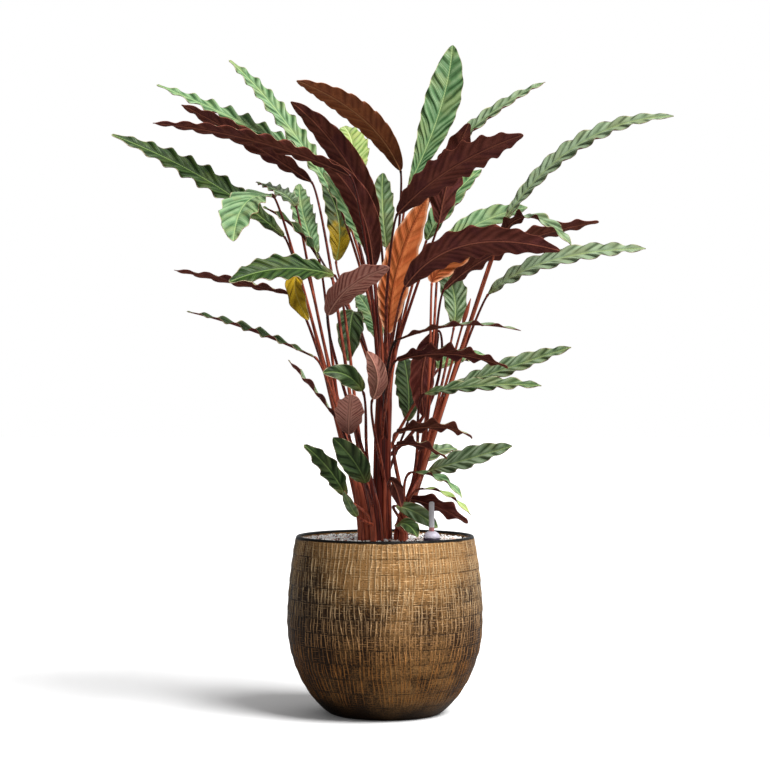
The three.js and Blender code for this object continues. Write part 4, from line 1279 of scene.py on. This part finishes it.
class PlanterSettings(bpy.types.PropertyGroup):
    strokes: count("Strokes", "Combed strokes around the planter", 122, 40, 200)
    stroke_height: span("Stroke Height", "How far the combed strokes stand out", 0.4)
    ring_height: span("Ring Height", "How far the throwing rings stand out", 0.5)
    scratch_pitch: span("Scratch Pitch", "Distance between level scratches", 2.9)
    # The high bronze is paler than the low one: painted light, lit from above
    high_bronze_painted_lit: tint("High Bronze", "Bronze on the upper planter", "#f8d5a4")
    low_bronze_painted_shade: tint("Low Bronze", "Bronze on the lower planter", "#c98645")
    wash_brown: tint("Wash Brown", "Glaze where the bronze was wiped on thinly", "#a97d4c")
    body_brown: tint("Body Brown", "Bare glaze between the strokes", "#2a1706")


class GranulateSettings(bpy.types.PropertyGroup):
    spacing: span("Spacing", "Least distance between grains", 2.9)
    smallest: span("Smallest", "Smallest grain", 2.4)
    largest: span("Largest", "Largest grain", 5.0)
    seed: count("Seed", "Layout of the grains", 3, 0, 1000)


class StalkSettings(bpy.types.PropertyGroup):
    sides: count("Sides", "Sides of a stalk's section", 10, 6, 24)
    dark_red: tint("Dark Red", "Darkest stalks", "#140403")
    wine_red: tint("Wine Red", "Most of the stalks", "#571a12")
    salmon: tint("Salmon", "Palest stalks", "#b85c42")


class LeafSettings(bpy.types.PropertyGroup):
    samples_per_wave: count("Samples per Wave", "Mesh rows in one edge wave", 16, 8, 24)
    vein_slant: number("Vein Slant", "How far a fold runs forward for each step outward", 1.5)
    fold_height: span("Fold Height", "Height of the folds between the veins", 1.1)
    thickness: span("Thickness", "Thickness of the blade beside its midrib", 0.5)
    # The hollow colour is painted shade, and the two crown colours are partly painted sheen
    hollow_shade_green: tint("Hollow Green", "Upper face in the hollows of its folds", "#102804")
    green: tint("Green", "Upper face of most leaves", "#4c683a")
    bloom_and_sheen: tint("Bloom", "Upper face on the crowns of its folds", "#a2b794")
    pale_green: tint("Pale Green", "Upper face of the pale leaves", "#4d7847")
    pale_bloom_and_sheen: tint("Pale Bloom", "Pale leaves on the crowns of their folds", "#97b586")
    maroon: tint("Maroon", "Velvet under face", "#54211a")
    maroon_sheen: tint("Maroon Sheen", "Velvet under face where it turns to the light", "#8a4c40")


class GaugeSettings(bpy.types.PropertyGroup):
    cap_lilac: tint("Cap Lilac", "Domed cap", "#d6cbe2")
    band_plum: tint("Band Plum", "Band under the cap", "#33263a")
    float_red: tint("Float Red", "Float in the tube", "#cf2a1d")


class CalatheaSettings(bpy.types.PropertyGroup):
    stage: bpy.props.PointerProperty(type=StageSettings)
    planter: bpy.props.PointerProperty(type=PlanterSettings)
    granulate: bpy.props.PointerProperty(type=GranulateSettings)
    gauge: bpy.props.PointerProperty(type=GaugeSettings)
    stalks: bpy.props.PointerProperty(type=StalkSettings)
    leaves: bpy.props.PointerProperty(type=LeafSettings)


# Operators

class CALATHEA_OT_stage(bpy.types.Operator):
    """Add the floor, the soft lights and the camera"""
    bl_idname = "calathea.stage"
    bl_label = "Stage"

    def execute(self, context):
        build_stage(context.scene.calathea.stage)
        return {"FINISHED"}


class CALATHEA_OT_planter(bpy.types.Operator):
    """Add the ball-shaped planter with its combed bronze glaze"""
    bl_idname = "calathea.planter"
    bl_label = "Planter"

    def execute(self, context):
        settle(build_planter(context.scene.calathea.planter), "planter_glaze", "planter")
        return {"FINISHED"}


class CALATHEA_OT_granulate(bpy.types.Operator):
    """Add the mineral granulate that fills the planter"""
    bl_idname = "calathea.granulate"
    bl_label = "Granulate"

    def execute(self, context):
        settle(build_granulate(context.scene.calathea.granulate), "granulate", "substrate")
        return {"FINISHED"}


class CALATHEA_OT_gauge(bpy.types.Operator):
    """Add the water gauge's cap, clear tube and red float"""
    bl_idname = "calathea.gauge"
    bl_label = "Water Gauge"

    def execute(self, context):
        cap, tube, mark = build_gauge(context.scene.calathea.gauge)
        settle(cap, "gauge_cap", "gauge_body")
        settle(tube, "gauge_tube", "gauge_tube")
        settle(mark, "gauge_float", "gauge_float")
        return {"FINISHED"}


class CALATHEA_OT_stalks(bpy.types.Operator):
    """Add the sheaths and petioles of every shoot"""
    bl_idname = "calathea.stalks"
    bl_label = "Stalks"

    def execute(self, context):
        build_stalks(context.scene.calathea.stalks)
        return {"FINISHED"}


class CALATHEA_OT_leaves(bpy.types.Operator):
    """Add every ruffled leaf blade, green above and maroon below"""
    bl_idname = "calathea.leaves"
    bl_label = "Leaves"

    def execute(self, context):
        build_leaves(context.scene.calathea.leaves)
        return {"FINISHED"}


class CALATHEA_PT_panel(bpy.types.Panel):
    """Lists the settings and the pieces in the order they are added"""
    bl_idname = "CALATHEA_PT_panel"
    bl_label = "Potted Calathea"
    bl_space_type = "VIEW_3D"
    bl_region_type = "UI"
    bl_category = "Calathea"

    def draw(self, context):
        for group in ("stage", "planter", "granulate", "gauge", "stalks", "leaves"):
            box = self.layout.box()
            box.operator("calathea." + group)
            values = getattr(context.scene.calathea, group)
            for key in values.__annotations__:
                box.prop(values, key)


CLASSES = (StageSettings, PlanterSettings, GranulateSettings, GaugeSettings, StalkSettings, LeafSettings,
           CalatheaSettings, CALATHEA_OT_stage, CALATHEA_OT_planter, CALATHEA_OT_granulate,
           CALATHEA_OT_gauge, CALATHEA_OT_stalks, CALATHEA_OT_leaves, CALATHEA_PT_panel)


def register():
    for cls in CLASSES:
        bpy.utils.register_class(cls)
    bpy.types.Scene.calathea = bpy.props.PointerProperty(type=CalatheaSettings)


def unregister():
    del bpy.types.Scene.calathea
    for cls in reversed(CLASSES):
        bpy.utils.unregister_class(cls)


def main():
    register()
    bpy.ops.calathea.stage()
    bpy.ops.calathea.planter()
    bpy.ops.calathea.granulate()
    bpy.ops.calathea.gauge()
    bpy.ops.calathea.stalks()
    bpy.ops.calathea.leaves()


if __name__ == "__main__":
    main()
